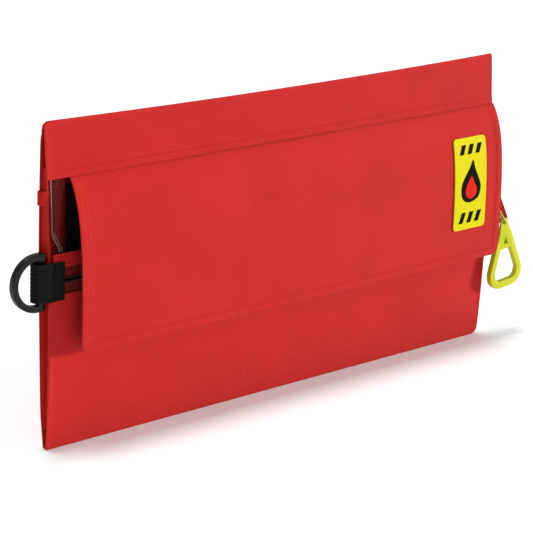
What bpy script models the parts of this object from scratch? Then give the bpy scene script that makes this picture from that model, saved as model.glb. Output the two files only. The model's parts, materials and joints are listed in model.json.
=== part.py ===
"""A soft pouch for a folded fire blanket, with a weather flap over its zip.

Frame: +X to the wearer's right along the width, the front faces -Y, +Z up.
The origin is on the underside of the base, at the middle of the width.
Every size is in metres. Sheets of cloth are closed walls between two surfaces,
and neighbouring layers keep a gap of GAP.
"""

import math
from typing import NamedTuple

import bmesh
import bpy
from mathutils import Matrix
from mathutils.geometry import tessellate_polygon

MM = 0.001
GAP = 0.3 * MM  # clearance between layers that touch on the real pouch

# Pouch body
POUCH_WIDTH = 400 * MM
POUCH_HEIGHT = 216 * MM
TOP_SAG = 2.0 * MM  # dip of the top edge at the middle
CLOTH = 1.0 * MM
HEM = 1.8 * MM  # folded edge of a cloth panel
HEM_WIDTH = 7 * MM
FRONT_AT_BASE = 6.0 * MM  # how far the front face stands before the middle plane
FRONT_AT_TOP = 1.5 * MM
FRONT_BULGE = 5.0 * MM
BACK_AT_CORNER = -2.0 * MM
BACK_AT_BASE = 6.0 * MM
BACK_AT_TOP = 0.8 * MM
BACK_END_BULGE = 3.1 * MM
BACK_FLAT = 9.4 * MM  # distance of the flat middle of the back
BACK_FLAT_SHARE = 0.35  # share of the height over which the back swells out
BACK_WIDE = 0.55  # share of the half width over which the back stays full
CORNER_RIGHT = 6 * MM
CORNER_LEFT = 2 * MM

# Front, from the base up
BAND_DEPTH = 36.5 * MM
ZIP_HEIGHT = 113.6 * MM
ZIP_OPENING = 17.4 * MM  # between the hems above and below the zip
RAIL_DEPTH = 9.2 * MM
TUCK = 4.5 * MM  # how far a sheet runs in behind the next one
FILM = 0.5 * MM
FILM_LAYER = CLOTH + GAP  # depth of the film and the zip tape behind the face
FILM_CUT = 14 * MM  # height of the slanting cut at the film's free corner
FILM_CUT_IN = 5.5 * MM
SIDE_MARGIN = 3.6 * MM  # film's free edge to the pouch's edge

# Side and base strips
GUSSET_GAP = 2.1 * MM  # depth of the gusset's front leg behind the face
GUSSET_END = 0.8 * MM
GUSSET_LOW = 14 * MM
GUSSET_DROP = 30 * MM  # below the pouch's top edge
GUSSET_FOLD = 7.8 * MM
GUSSET_WALL = 1.6 * MM
BASE_STRIP_INSET = 12 * MM

# Zip
ZIP_END = 2 * MM  # pouch's edge to the end of the tape
TAPE_WIDTH = 12.3 * MM
TAPE_SPLIT = 2.0 * MM  # between the two tapes
COIL_SPLIT = 1.4 * MM
COIL_WIDTH = 1.5 * MM
COIL_DEPTH = 1.2 * MM
STOP_LENGTH = 3 * MM

# Slider and its pull
SLIDER_INSET = 6.4 * MM  # from the pouch's edge to the slider's middle
SLIDER_LENGTH = 14 * MM
SLIDER_WIDTH = 9.5 * MM
SLIDER_PLATE = 1.8 * MM
SLIDER_BACK_LENGTH = 5.5 * MM
SLIDER_BACK_PLATE = 1.0 * MM
SLIDER_WEB = 0.8 * MM
BAIL_WIRE = 1.6 * MM
LINK_WIRE = 0.75 * MM  # radius of the link's strand
LINK_LEAN = 36.4  # degrees that the resting link leans out from straight down
LINK_TOP = 1.9 * MM  # room for the bail's corners at every swing of the link
LINK_REACH = 32.3 * MM  # bail to the eye of the pull loop
PULL_LEAN = 6  # degrees that the resting pull loop leans out
PULL_LENGTH = 51.5 * MM
PULL_HALF_WIDTH = 17 * MM
PULL_THICK = 4.0 * MM
PULL_EYE_THICK = 1.5 * MM
PULL_EYE_HOLE = 1.7 * MM
PULL_EYE_RIM = 3.5 * MM
PULL_LEG = 5.3 * MM
PULL_CROSSBAR = 20.5 * MM  # eye to the top of the finger opening

# Flap
FLAP_INSET = 18 * MM  # of its left edge from the pouch's left edge
FLAP_OVERHANG = 2 * MM  # of its right edge beyond the pouch's right edge
FLAP_BOTTOM = 67 * MM
FLAP_ROOM = 1.3 * MM  # between its lining and the link
FLAP_SWELL = 22 * MM  # how fast it swells out below the seam
FLAP_FILL = 80 * MM  # height below the seam where it has swelled out fully
FLAP_CORNER = 6 * MM
SEAM = 0.6 * MM  # from the band's edge down to the flap's hinge line
LINING_INSET = 1 * MM
LINING_DROP = 11 * MM
STRIP_HALF = 60 * MM
STRIP_LOW = 71 * MM
STRIP_DEPTH = 16 * MM
STRIP = 0.9 * MM
LABEL_INSET = 32 * MM  # from the pouch's right edge to its middle
LABEL_WIDTH = 33 * MM
LABEL_LOW = 92 * MM
LABEL_DEPTH = 68 * MM
LABEL = 0.8 * MM
LABEL_CORNER = 3 * MM

# Webbing loop, D-ring and tabs
WEBBING_WIDTH = 25 * MM
WEBBING = 1.3 * MM
WEBBING_HEIGHT = 114 * MM
WEBBING_OUT = 10 * MM  # how far its fold stands beyond the pouch's edge
WEBBING_SEWN = 11 * MM  # length sewn on the pouch
RING_AXIS = 3.2 * MM  # from the pouch's edge to the middle of the bar
RING_BAR = 5.0 * MM
RING_BAND = 5.6 * MM
RING_SLACK = 1.1 * MM  # between the webbing's edges and the ring's arms
RING_THICK = 4.2 * MM
RING_MID = -4.0 * MM
TAB_TAPE = 1.4 * MM
TAB_WIDTH = 11.5 * MM
TAB_TURN = 20  # degrees that the right tab is turned away from the pouch
SIDE_TAB_LOW = 163 * MM
SIDE_TAB_HEIGHT = 9 * MM
SIDE_TAB_OUT = 3.2 * MM

# Contents
BLANKET_INSET = 18 * MM
BLANKET_LOW = 9 * MM
BLANKET_DROP = 42 * MM  # below the pouch's top edge
BLANKET_FRONT = 3.7 * MM  # depth behind the front face
BLANKET_BACK = 1.6 * MM

HALF = POUCH_WIDTH / 2
SLIDER_X = HALF - SLIDER_INSET
FLAP_LEFT = -HALF + FLAP_INSET
FLAP_RIGHT = HALF + FLAP_OVERHANG
LABEL_X = HALF - LABEL_INSET
BLANKET_HALF = HALF - BLANKET_INSET
BLANKET_HIGH = POUCH_HEIGHT - BLANKET_DROP
BASE_STRIP_HALF = HALF - BASE_STRIP_INSET
GUSSET_HIGH = POUCH_HEIGHT - GUSSET_DROP
BAND_LOW = POUCH_HEIGHT - BAND_DEPTH
ZIP_LOW = ZIP_HEIGHT - 0.5 * ZIP_OPENING
ZIP_HIGH = ZIP_HEIGHT + 0.5 * ZIP_OPENING
RAIL_HIGH = ZIP_HIGH + RAIL_DEPTH
TAPE_TOP = ZIP_HEIGHT + 0.5 * TAPE_SPLIT + TAPE_WIDTH
TAPE_REACH = HALF - ZIP_END
FLAP_TOP = BAND_LOW - SEAM
RING_X = -HALF - RING_AXIS


def smooth(t):
    """Ease from 0 to 1, flat at both ends."""
    t = min(1.0, max(0.0, t))
    return t * t * (3 - 2 * t)


def swell(z, power):
    """A rise from 0 at the base through 1 at half height to 0 at the top."""
    share = min(1.0, max(0.0, z / POUCH_HEIGHT))
    return max(0.0, math.sin(math.pi * share)) ** power


def front_y(z):
    """Outer face of the pouch's front, the same all along the width."""
    share = z / POUCH_HEIGHT
    straight = FRONT_AT_BASE * (1 - share) + FRONT_AT_TOP * share
    return -(straight + FRONT_BULGE * swell(z, 0.7))


def back_y(x, z):
    """Outer face of the back: slim at the ends, full and flat in the middle."""
    share = z / POUCH_HEIGHT
    end = BACK_AT_CORNER * (1 - share) + BACK_AT_TOP * share + BACK_END_BULGE * swell(z, 0.7)
    straight = BACK_AT_BASE * (1 - share) + BACK_AT_TOP * share
    full = smooth(share / BACK_FLAT_SHARE) * smooth((1 - share) / BACK_FLAT_SHARE)
    middle = straight + (BACK_FLAT - straight) * full
    wide = 1 - smooth((abs(x) / HALF - BACK_WIDE) / (1 - BACK_WIDE))
    return end + (middle - end) * wide


def hem(x, z):
    """Thickness of the back: doubled along the side edges where there is room."""
    folded = CLOTH + (HEM - CLOTH) * smooth((abs(x) - (HALF - HEM_WIDTH)) / (0.4 * HEM_WIDTH))
    room = back_y(x, z) - front_y(z) - CLOTH - GAP
    return min(folded, room)


def behind_front(depth):
    """A surface at this depth behind the front's outer face."""
    return lambda x, z: front_y(z) + depth


def flap_stand():
    """How far the flap's face stands out, so that its lining clears the link."""
    coils = -front_y(ZIP_HEIGHT) - FILM_LAYER + GAP + COIL_DEPTH
    link = SLIDER_PLATE + BAIL_WIRE + 4 * LINK_WIRE + 4 * GAP
    return coils + link + FLAP_ROOM + 2 * CLOTH + GAP


def top_edge(x):
    """Height of the top edge."""
    return POUCH_HEIGHT - TOP_SAG * (1 - (x / HALF) ** 2)


def base_edge(x):
    """Lower edge, with the two lower corners rounded."""
    radius = CORNER_RIGHT if x > 0 else CORNER_LEFT
    over = abs(x) - (HALF - radius)
    return radius - math.sqrt(max(0.0, radius**2 - over**2)) if over > 0 else 0.0


class Finish(NamedTuple):
    """Colour and surface of a material."""

    name: str
    color: tuple
    roughness: float
    metallic: float = 0.0
    transmission: float = 0.0


def dress(obj, finish):
    """Give the object a material of its own in this finish."""
    material = bpy.data.materials.new(obj.name + "_" + finish.name)
    material.use_nodes = True
    shader = material.node_tree.nodes["Principled BSDF"]
    shader.inputs["Base Color"].default_value = (*finish.color, 1)
    shader.inputs["Roughness"].default_value = finish.roughness
    shader.inputs["Metallic"].default_value = finish.metallic
    shader.inputs["Transmission Weight"].default_value = finish.transmission
    obj.data.materials.append(material)


def hang(pivot, *names):
    """Put the origins of these objects on their joint's axis, and leave their shapes in place."""
    for name in names:
        obj = bpy.data.objects[name]
        obj.data.transform(Matrix.Translation([-c for c in pivot]))
        obj.location = pivot


def finish_mesh(name, bm, finish, smooth_shaded=True):
    """Turn a bmesh into the named object, with its faces pointing out."""
    bmesh.ops.recalc_face_normals(bm, faces=bm.faces)
    mesh = bpy.data.meshes.new(name)
    bm.to_mesh(mesh)
    bm.free()
    if smooth_shaded:
        mesh.shade_smooth()
        mesh.set_sharp_from_angle(angle=math.radians(35))
    obj = bpy.data.objects.new(name, mesh)
    dress(obj, finish)
    bpy.context.scene.collection.objects.link(obj)
    return obj


def sheet(name, finish, columns, rows, outline, near, far):
    """A closed wall: outline(u, v) gives x and z, near and far give its two faces."""
    bm = bmesh.new()
    layers = []
    for face in (near, far):
        grid = []
        for v in rows:
            points = [outline(u, v) for u in columns]
            grid.append([bm.verts.new((x, face(x, z), z)) for x, z in points])
        layers.append(grid)
    front, back = layers
    last_row, last_column = len(rows) - 1, len(columns) - 1
    for j in range(last_row):
        for i in range(last_column):
            for grid in layers:
                bm.faces.new((grid[j][i], grid[j][i + 1], grid[j + 1][i + 1], grid[j + 1][i]))
    for i in range(last_column):
        for j in (0, last_row):
            bm.faces.new((front[j][i], front[j][i + 1], back[j][i + 1], back[j][i]))
    for j in range(last_row):
        for i in (0, last_column):
            bm.faces.new((front[j][i], front[j + 1][i], back[j + 1][i], back[j][i]))
    return finish_mesh(name, bm, finish)


def even(count):
    """Shares from 0 to 1 in equal steps."""
    return [i / count for i in range(count + 1)]


def rectangle(left, right, low, high):
    """An outline function; low and high may be numbers or functions of x."""

    def outline(u, v):
        x = left + (right - left) * u
        foot = low(x) if callable(low) else low
        head = high(x) if callable(high) else high
        return x, foot + (head - foot) * v

    return outline


def rounded_columns(left, right, corner_left, corner_right, steps, middle=2):
    """Column positions from 0 to 1, set close where two corners are rounded."""
    turn = [math.sin(0.5 * math.pi * i / steps) for i in range(steps + 1)]
    places = [left + corner_left * (1 - t) for t in reversed(turn)]
    inner_left, inner_right = left + corner_left, right - corner_right
    places += [inner_left + (inner_right - inner_left) * i / middle for i in range(1, middle)]
    places += [right - corner_right * (1 - t) for t in turn]
    return [(x - left) / (right - left) for x in places]


def prism(name, finish, outline, holes, place, smooth_shaded=True):
    """A plate with holes: place(a, b, side) puts an outline point on side 0 or 1."""
    loops = [outline] + holes
    flat = [point for loop in loops for point in loop]
    bm = bmesh.new()
    sides = [[bm.verts.new(place(a, b, side)) for a, b in flat] for side in (0, 1)]
    for triangle in tessellate_polygon([[(a, b, 0) for a, b in loop] for loop in loops]):
        for verts in sides:
            bm.faces.new([verts[i] for i in triangle])
    start = 0
    for loop in loops:
        for i in range(len(loop)):
            a, b = start + i, start + (i + 1) % len(loop)
            bm.faces.new((sides[0][a], sides[0][b], sides[1][b], sides[1][a]))
        start += len(loop)
    return finish_mesh(name, bm, finish, smooth_shaded)


def arc(cx, cy, radius, start, end, steps):
    """Points on an arc, angles in degrees."""
    turns = [math.radians(start + (end - start) * i / steps) for i in range(steps + 1)]
    return [(cx + radius * math.cos(t), cy + radius * math.sin(t)) for t in turns]


def tape_outline(path, thickness):
    """The closed outline of a strip of this thickness along a path of points."""
    left, right = [], []
    for i, (x, y) in enumerate(path):
        before, after = path[max(0, i - 1)], path[min(len(path) - 1, i + 1)]
        dx, dy = after[0] - before[0], after[1] - before[1]
        length = math.hypot(dx, dy)
        nx, ny = -dy / length * thickness / 2, dx / length * thickness / 2
        left.append((x + nx, y + ny))
        right.append((x - nx, y - ny))
    return left + right[::-1]


def smooth_path(points, steps):
    """A Catmull-Rom curve through the points."""
    ends = [points[0]] + points + [points[-1]]
    path = []
    for i in range(1, len(ends) - 2):
        p0, p1, p2, p3 = ends[i - 1 : i + 3]
        for k in range(steps):
            t = k / steps
            path.append(
                tuple(
                    0.5
                    * (
                        2 * b
                        + (c - a) * t
                        + (2 * a - 5 * b + 4 * c - d) * t * t
                        + (3 * b - a - 3 * c + d) * t**3
                    )
                    for a, b, c, d in zip(p0, p1, p2, p3)
                )
            )
    path.append(points[-1])
    return path


def make_body(cloth):
    """The sewn shell: back, front panels, band, side folds and base strip."""
    rows = even(16)
    both = rounded_columns(-HALF, HALF, CORNER_LEFT, CORNER_RIGHT, 3, middle=14)
    whole = rectangle(-HALF, HALF, base_edge, top_edge)
    sheet("back_panel", cloth, both, rows, whole, lambda x, z: back_y(x, z) - hem(x, z), back_y)

    lower = rectangle(-HALF, HALF, base_edge, ZIP_LOW)
    columns = rounded_columns(-HALF, HALF, CORNER_LEFT, CORNER_RIGHT, 3)
    face, inside = behind_front(0), behind_front(CLOTH)
    sheet("lower_front_panel", cloth, columns, even(9), lower, face, inside)

    rail = rectangle(-HALF + SIDE_MARGIN, HALF, ZIP_HIGH, RAIL_HIGH)
    sheet("window_rail", cloth, [0, 0.5, 1], [0, 0.5, 1], rail, face, inside)

    band = rectangle(-HALF, HALF, BAND_LOW, top_edge)
    sheet("top_band", cloth, even(10), even(5), band, face, inside)

    make_gusset("left_gusset", cloth, -1)
    make_gusset("right_gusset", cloth, 1)

    clear = CLOTH + GAP
    xs = [BASE_STRIP_HALF * (2 * u - 1) for u in even(14)]
    front_edge = [(x, front_y(0) + clear) for x in xs]
    back_edge = [(x, back_y(x, 0) - clear - GAP) for x in reversed(xs)]
    prism(
        "base_strip",
        cloth,
        front_edge + back_edge,
        [],
        lambda x, y, side: (x, y, side * CLOTH),
        smooth_shaded=False,
    )


def make_gusset(name, cloth, side):
    """A strip folded inwards between the front and the back at one end."""
    edge = HALF - GUSSET_END
    turns = even(6)
    around = [(turn, 0) for turn in turns] + [(turn, 1) for turn in reversed(turns)]

    def place(turn, z, inner):
        y0 = front_y(z) + GUSSET_GAP
        y1 = back_y(HALF, z) - HEM - GAP
        depth = min(GUSSET_FOLD, 1.1 * (y1 - y0))
        fold = depth * math.sin(math.pi * turn) ** 0.8 if 0 < turn < 1 else 0.0
        return side * (edge - fold - inner * GUSSET_WALL), y0 + (y1 - y0) * turn

    bm = bmesh.new()
    rings = []
    for height in even(12):
        z = GUSSET_LOW + (GUSSET_HIGH - GUSSET_LOW) * height
        rings.append([bm.verts.new((*place(turn, z, inner), z)) for turn, inner in around])
    count = len(rings[0])
    for low, high in zip(rings, rings[1:]):
        for i in range(count):
            k = (i + 1) % count
            bm.faces.new((low[i], low[k], high[k], high[i]))
    for ring in (rings[0], rings[-1]):
        for i in range(len(turns) - 1):
            bm.faces.new((ring[i], ring[i + 1], ring[count - 2 - i], ring[count - 1 - i]))
    finish_mesh(name, bm, cloth)


def make_window(film):
    """The clear film, tucked behind the band and the rail, its lower free corner cut off."""
    low = TAPE_TOP + GAP
    high = BAND_LOW + TUCK

    def outline(u, v):
        z = low + (high - low) * v
        cut = FILM_CUT_IN * smooth((RAIL_HIGH + FILM_CUT - z) / FILM_CUT)
        left = -HALF + SIDE_MARGIN + cut
        return left + (TAPE_REACH - left) * u, z

    near, far = behind_front(FILM_LAYER), behind_front(FILM_LAYER + FILM)
    sheet("window_film", film, [0, 0.33, 0.67, 1], even(12), outline, near, far)


def make_zip(tape, coil, metal):
    """Two tapes with a coil each, and the stops at both ends."""
    near, far = behind_front(FILM_LAYER), behind_front(FILM_LAYER + FILM)
    coil_back = front_y(ZIP_HEIGHT) + FILM_LAYER - GAP

    def coil_near(x, z):
        return coil_back - COIL_DEPTH

    def coil_far(x, z):
        return coil_back

    coil_reach = TAPE_REACH - STOP_LENGTH - GAP
    for name, sign in (("lower", -1), ("upper", 1)):
        inner = ZIP_HEIGHT + sign * 0.5 * TAPE_SPLIT
        ends = sorted((inner, inner + sign * TAPE_WIDTH))
        outline = rectangle(-TAPE_REACH, TAPE_REACH, *ends)
        sheet("zip_tape_" + name, tape, [0, 0.5, 1], even(3), outline, near, far)
        inner = ZIP_HEIGHT + sign * 0.5 * COIL_SPLIT
        ends = sorted((inner, inner + sign * COIL_WIDTH))
        outline = rectangle(-coil_reach, coil_reach, *ends)
        sheet("zip_coil_" + name, coil, [0, 0.5, 1], [0, 1], outline, coil_near, coil_far)
    reach = 0.5 * COIL_SPLIT + COIL_WIDTH
    for name, sign in (("left", -1), ("right", 1)):
        ends = sorted((sign * TAPE_REACH, sign * (TAPE_REACH - STOP_LENGTH)))
        outline = rectangle(*ends, ZIP_HEIGHT - reach, ZIP_HEIGHT + reach)
        sheet("zip_stop_" + name, metal, [0, 1], [0, 1], outline, coil_near, coil_far)


def make_slider(metal, lime):
    """The slider on the coils, its bail, the link through it and the pull loop."""
    face = front_y(ZIP_HEIGHT)
    coil_front = face + FILM_LAYER - GAP - COIL_DEPTH
    plate_back = coil_front - GAP
    plate_front = plate_back - SLIDER_PLATE
    inside = face + FILM_LAYER + FILM + GAP
    inside_back = inside + SLIDER_BACK_PLATE

    half = SLIDER_LENGTH / 2
    nose = [
        (-half, -0.30 * SLIDER_WIDTH),
        (-0.35 * half, -0.36 * SLIDER_WIDTH),
        (0.35 * half, -0.5 * SLIDER_WIDTH),
        (0.85 * half, -0.5 * SLIDER_WIDTH),
        (half, -0.36 * SLIDER_WIDTH),
    ]
    outline = [(SLIDER_X + a, ZIP_HEIGHT + b) for a, b in nose]
    outline += [(SLIDER_X + a, ZIP_HEIGHT - b) for a, b in reversed(nose)]
    slider = prism(
        "slider_body",
        metal,
        outline,
        [],
        lambda a, b, side: (a, (plate_front, plate_back)[side], b),
        smooth_shaded=False,
    )
    web_left = SLIDER_X - 0.85 * half
    web_right = web_left + 0.8 * SLIDER_BACK_LENGTH
    back_left = SLIDER_X - half
    union_box(
        slider,
        (web_left, plate_back - 0.5 * SLIDER_PLATE, ZIP_HEIGHT - SLIDER_WEB / 2),
        (web_right, inside + 0.5 * SLIDER_BACK_PLATE, ZIP_HEIGHT + SLIDER_WEB / 2),
    )
    union_box(
        slider,
        (back_left, inside, ZIP_HEIGHT - 0.35 * SLIDER_WIDTH),
        (back_left + SLIDER_BACK_LENGTH, inside_back, ZIP_HEIGHT + 0.35 * SLIDER_WIDTH),
    )

    # The bail is an arch over the plate; the link's back strand runs under it.
    back_strand = plate_front - GAP - LINK_WIRE
    bar_back = back_strand - LINK_WIRE - GAP
    bar_front = bar_back - BAIL_WIRE
    left, right = SLIDER_X - 0.5 * half, SLIDER_X + 0.9 * half
    foot = plate_front - GAP
    outer = [(left, foot), (left, bar_front + BAIL_WIRE)]
    outer += arc(left + BAIL_WIRE, bar_front + BAIL_WIRE, BAIL_WIRE, 180, 270, 3)[1:]
    outer += arc(right - BAIL_WIRE, bar_front + BAIL_WIRE, BAIL_WIRE, 270, 360, 3)
    outer += [(right, foot), (right - BAIL_WIRE, foot), (right - BAIL_WIRE, bar_back)]
    outer += [(left + BAIL_WIRE, bar_back), (left + BAIL_WIRE, foot)]
    prism(
        "slider_bail",
        metal,
        outer,
        [],
        lambda a, b, side: (a, b, ZIP_HEIGHT + (side - 0.5) * BAIL_WIRE),
        smooth_shaded=False,
    )

    pivot_x = 0.5 * (left + right)
    pivot_y = 0.5 * (bar_back + bar_front)
    half_ring = back_strand - pivot_y
    eye = make_link(lime, pivot_x, pivot_y, half_ring)
    make_pull(lime, eye, pivot_y)
    hang((SLIDER_X, pivot_y, ZIP_HEIGHT), "slider_body", "slider_bail")
    hang((pivot_x, pivot_y, ZIP_HEIGHT), "puller_link")
    hang((eye[0], pivot_y, eye[1]), "pull_loop")


def union_box(obj, low, high):
    """Join a box to the object with a Boolean that is applied to the mesh."""
    bpy.ops.mesh.primitive_cube_add(size=1)
    box = bpy.context.object
    box.name = obj.name + "_block"
    for vertex in box.data.vertices:
        for axis in range(3):
            share = vertex.co[axis] + 0.5
            vertex.co[axis] = low[axis] + (high[axis] - low[axis]) * share
    joint = obj.modifiers.new("joined", "BOOLEAN")
    joint.operation = "UNION"
    joint.solver = "EXACT"
    joint.object = box
    graph = bpy.context.evaluated_depsgraph_get()
    joined = bpy.data.meshes.new_from_object(obj.evaluated_get(graph))
    obj.modifiers.clear()
    obj.data = joined
    bpy.data.objects.remove(box)


def make_link(lime, x, y, half_ring):
    """A long narrow ring hanging on the bail's bar; returns the pull loop's eye."""
    lean = math.radians(LINK_LEAN)
    along = (math.sin(lean), -math.cos(lean))
    bottom = LINK_REACH - half_ring + GAP
    bends = arc(-LINK_TOP, 0, half_ring, 90, 270, 6) + arc(bottom, 0, half_ring, 270, 450, 6)
    points = [(x + a * along[0], y + b, ZIP_HEIGHT + a * along[1]) for a, b in bends]
    curve = bpy.data.curves.new("puller_link", "CURVE")
    curve.dimensions = "3D"
    curve.bevel_depth = LINK_WIRE
    curve.bevel_resolution = 2
    spline = curve.splines.new("POLY")
    spline.points.add(len(points) - 1)
    for point, place in zip(spline.points, points):
        point.co = (*place, 1)
    spline.use_cyclic_u = True
    link = bpy.data.objects.new("puller_link", curve)
    dress(link, lime)
    bpy.context.scene.collection.objects.link(link)
    return x + LINK_REACH * along[0], ZIP_HEIGHT + LINK_REACH * along[1]


def make_pull(lime, eye, mid_y):
    """The moulded pull loop: an eye, a web with a small window and a finger opening."""
    slope = (PULL_HALF_WIDTH - PULL_EYE_RIM) / (0.74 * PULL_LENGTH)
    shoulder = 0.74 * PULL_LENGTH

    def half_width(v):
        return PULL_EYE_RIM + slope * v

    def both_sides(points):
        return points + [(-u, v) for u, v in reversed(points) if abs(u) > 1e-9]

    bend = PULL_LENGTH - shoulder
    side = [(0.0, -PULL_EYE_RIM)]
    side += arc(0, 0, PULL_EYE_RIM, -60, 0, 3)
    side += [(PULL_HALF_WIDTH, shoulder)]
    side += arc(PULL_HALF_WIDTH - bend * 0.8, shoulder + bend * 0.2, bend * 0.8, 0, 90, 5)[1:]

    inner_low = PULL_LENGTH - 1.05 * PULL_LEG
    inner_wide = PULL_HALF_WIDTH - PULL_LEG
    finger = [(half_width(PULL_CROSSBAR) - PULL_LEG, PULL_CROSSBAR)]
    finger += [(inner_wide, shoulder - 0.5 * MM)]
    finger += arc(inner_wide - 0.45 * bend, inner_low - 0.45 * bend, 0.45 * bend, 0, 90, 4)
    window_low = PULL_CROSSBAR - 3.8 * MM
    window = [(0.0, window_low - 7 * MM), (2.3 * MM, window_low)]
    hole = arc(0, 0, PULL_EYE_HOLE, 0, 330, 11)

    lean = math.radians(PULL_LEAN)
    down, across = (math.sin(lean), -math.cos(lean)), (math.cos(lean), math.sin(lean))

    def place(u, v, which):
        body = smooth((v - PULL_EYE_RIM) / (1.2 * PULL_EYE_RIM))
        thick = PULL_EYE_THICK + (PULL_THICK - PULL_EYE_THICK) * body
        x = eye[0] + u * across[0] + v * down[0]
        z = eye[1] + u * across[1] + v * down[1]
        return x, mid_y + (which - 0.5) * thick, z

    # The two side edges have a point where the eye's thin part ends.
    steps = [PULL_EYE_RIM * k for k in (1.0, 1.4, 1.8, 2.2)]
    rising = [(half_width(v), v) for v in steps]
    side_split = side[:5] + rising + side[5:]
    outline = both_sides(side_split)
    holes = [both_sides(finger), both_sides(window), hole]
    prism("pull_loop", lime, outline, holes, place)


def make_flap(cloth, lining, hook, label):
    """The weather flap: face, lining, closure strip and label; it hinges at the seam."""
    start, stand = front_y(BAND_LOW), flap_stand()
    full = 1 - math.exp(-FLAP_FILL / FLAP_SWELL)

    def face(x, z):
        drop = min(FLAP_FILL, FLAP_TOP - z)
        return start - (stand + start) * (1 - math.exp(-drop / FLAP_SWELL)) / full

    def shifted(depth):
        return lambda x, z: face(x, z) + depth

    def foot(x):
        over = max(FLAP_LEFT + FLAP_CORNER - x, x - FLAP_RIGHT + FLAP_CORNER, 0.0)
        over = min(over, FLAP_CORNER)
        return FLAP_BOTTOM + FLAP_CORNER - math.sqrt(FLAP_CORNER**2 - over**2)

    def heights(low, high):
        bends = [FLAP_TOP - FLAP_FILL * (k / 10) ** 1.6 for k in range(11)]
        marks = [low, 0.5 * (low + bends[-1]), high]
        marks += [z for z in bends if low < z < high - 0.2 * MM]
        return [(z - low) / (high - low) for z in sorted(marks)]

    columns = rounded_columns(FLAP_LEFT, FLAP_RIGHT, FLAP_CORNER, FLAP_CORNER, 3)
    outline = rectangle(FLAP_LEFT, FLAP_RIGHT, foot, FLAP_TOP)
    rows = heights(FLAP_BOTTOM, FLAP_TOP)
    sheet("flap_outer", cloth, columns, rows, outline, face, shifted(CLOTH))
    inner = rectangle(
        FLAP_LEFT + LINING_INSET, FLAP_RIGHT - LINING_INSET, lambda x: foot(x) + LINING_INSET,
        BAND_LOW - LINING_DROP,
    )
    layer = CLOTH + GAP
    sheet(
        "flap_lining", lining, columns, heights(FLAP_BOTTOM, BAND_LOW - LINING_DROP), inner,
        shifted(layer), shifted(layer + CLOTH),
    )
    strip = rectangle(-STRIP_HALF, STRIP_HALF, STRIP_LOW, STRIP_LOW + STRIP_DEPTH)
    inside = 2 * layer
    sheet(
        "flap_hook_strip", hook, [0, 1], [0, 0.5, 1], strip,
        shifted(inside), shifted(inside + STRIP),
    )
    sheet(
        "panel_loop_strip", hook, [0, 1], [0, 0.5, 1], strip,
        behind_front(-GAP - STRIP), behind_front(-GAP),
    )
    left, right = LABEL_X - LABEL_WIDTH / 2, LABEL_X + LABEL_WIDTH / 2

    def corner(x):
        over = min(LABEL_CORNER, max(left + LABEL_CORNER - x, x - right + LABEL_CORNER, 0.0))
        return LABEL_CORNER - math.sqrt(LABEL_CORNER**2 - over**2)

    patch = rectangle(
        left, right, lambda x: LABEL_LOW + corner(x), lambda x: LABEL_LOW + LABEL_DEPTH - corner(x)
    )
    columns = rounded_columns(left, right, LABEL_CORNER, LABEL_CORNER, 3)
    rows = heights(LABEL_LOW, LABEL_LOW + LABEL_DEPTH)
    off = 1.5 * GAP
    sheet("label_patch", label, columns, rows, patch, shifted(-off - LABEL), shifted(-off))
    on_hinge = ("flap_outer", "flap_lining", "flap_hook_strip", "label_patch")
    hang((0, start, FLAP_TOP), *on_hinge)


def make_left_fittings(webbing, plastic, cloth):
    """The webbing loop at the left edge, the D-ring that it holds and the small side tab."""
    fold_x, radius = -(HALF + WEBBING_OUT - WEBBING / 2), 3.9 * MM
    sewn_x = -HALF + WEBBING_SEWN
    low, high = WEBBING_HEIGHT - WEBBING_WIDTH / 2, WEBBING_HEIGHT + WEBBING_WIDTH / 2
    heights = (low, WEBBING_HEIGHT, high)

    def back(x):
        return max(back_y(x, z) for z in heights) + 1.5 * GAP + WEBBING / 2

    front = min(front_y(z) for z in heights) - GAP - WEBBING / 2
    centre_x = fold_x + radius
    path = [(sewn_x, front), (-HALF + 4 * MM, front), (-HALF, front)]
    path += [(x, y) for x, y in arc(centre_x, RING_MID, radius, 255, 105, 8)]
    path += [(x, back(x)) for x in (-HALF, -HALF + 4 * MM, sewn_x)]
    prism(
        "webbing_loop",
        webbing,
        tape_outline(path, WEBBING),
        [],
        lambda x, y, side: (x, y, (low, high)[side]),
    )

    bar_right, bar_left = RING_X + RING_BAR / 2, RING_X - RING_BAR / 2
    open_half = WEBBING_WIDTH / 2 + RING_SLACK
    outer_half = open_half + RING_BAND
    mid = bar_left - 0.5 * MM
    outer = arc(mid, 0, outer_half, 90, 270, 14)
    outer += arc(bar_right - 2 * MM, -outer_half + 2 * MM, 2 * MM, -90, 0, 3)
    outer += arc(bar_right - 2 * MM, outer_half - 2 * MM, 2 * MM, 0, 90, 3)
    inner = arc(mid, 0, open_half, 90, 270, 12)
    inner += [(bar_left, -open_half), (bar_left, open_half)]
    prism(
        "d_ring",
        plastic,
        outer,
        [inner],
        lambda x, h, side: (x, RING_MID + (side - 0.5) * RING_THICK, WEBBING_HEIGHT + h),
    )
    hang((RING_X, RING_MID, WEBBING_HEIGHT), "d_ring")

    root = -HALF - GAP
    middle = SIDE_TAB_LOW + SIDE_TAB_HEIGHT / 2
    rear = back_y(HALF, middle)
    depth = HEM + 1.8 * MM
    bend = 0.45 * depth
    shape = [(root, rear), (root, rear - depth)]
    shape += arc(root - SIDE_TAB_OUT + bend, rear - depth + bend, bend, 270, 180, 4)
    shape += arc(root - SIDE_TAB_OUT + bend, rear - bend, bend, 180, 90, 4)
    prism(
        "side_tab",
        cloth,
        shape,
        [],
        lambda x, y, side: (x, y, SIDE_TAB_LOW + side * SIDE_TAB_HEIGHT),
    )


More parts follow.
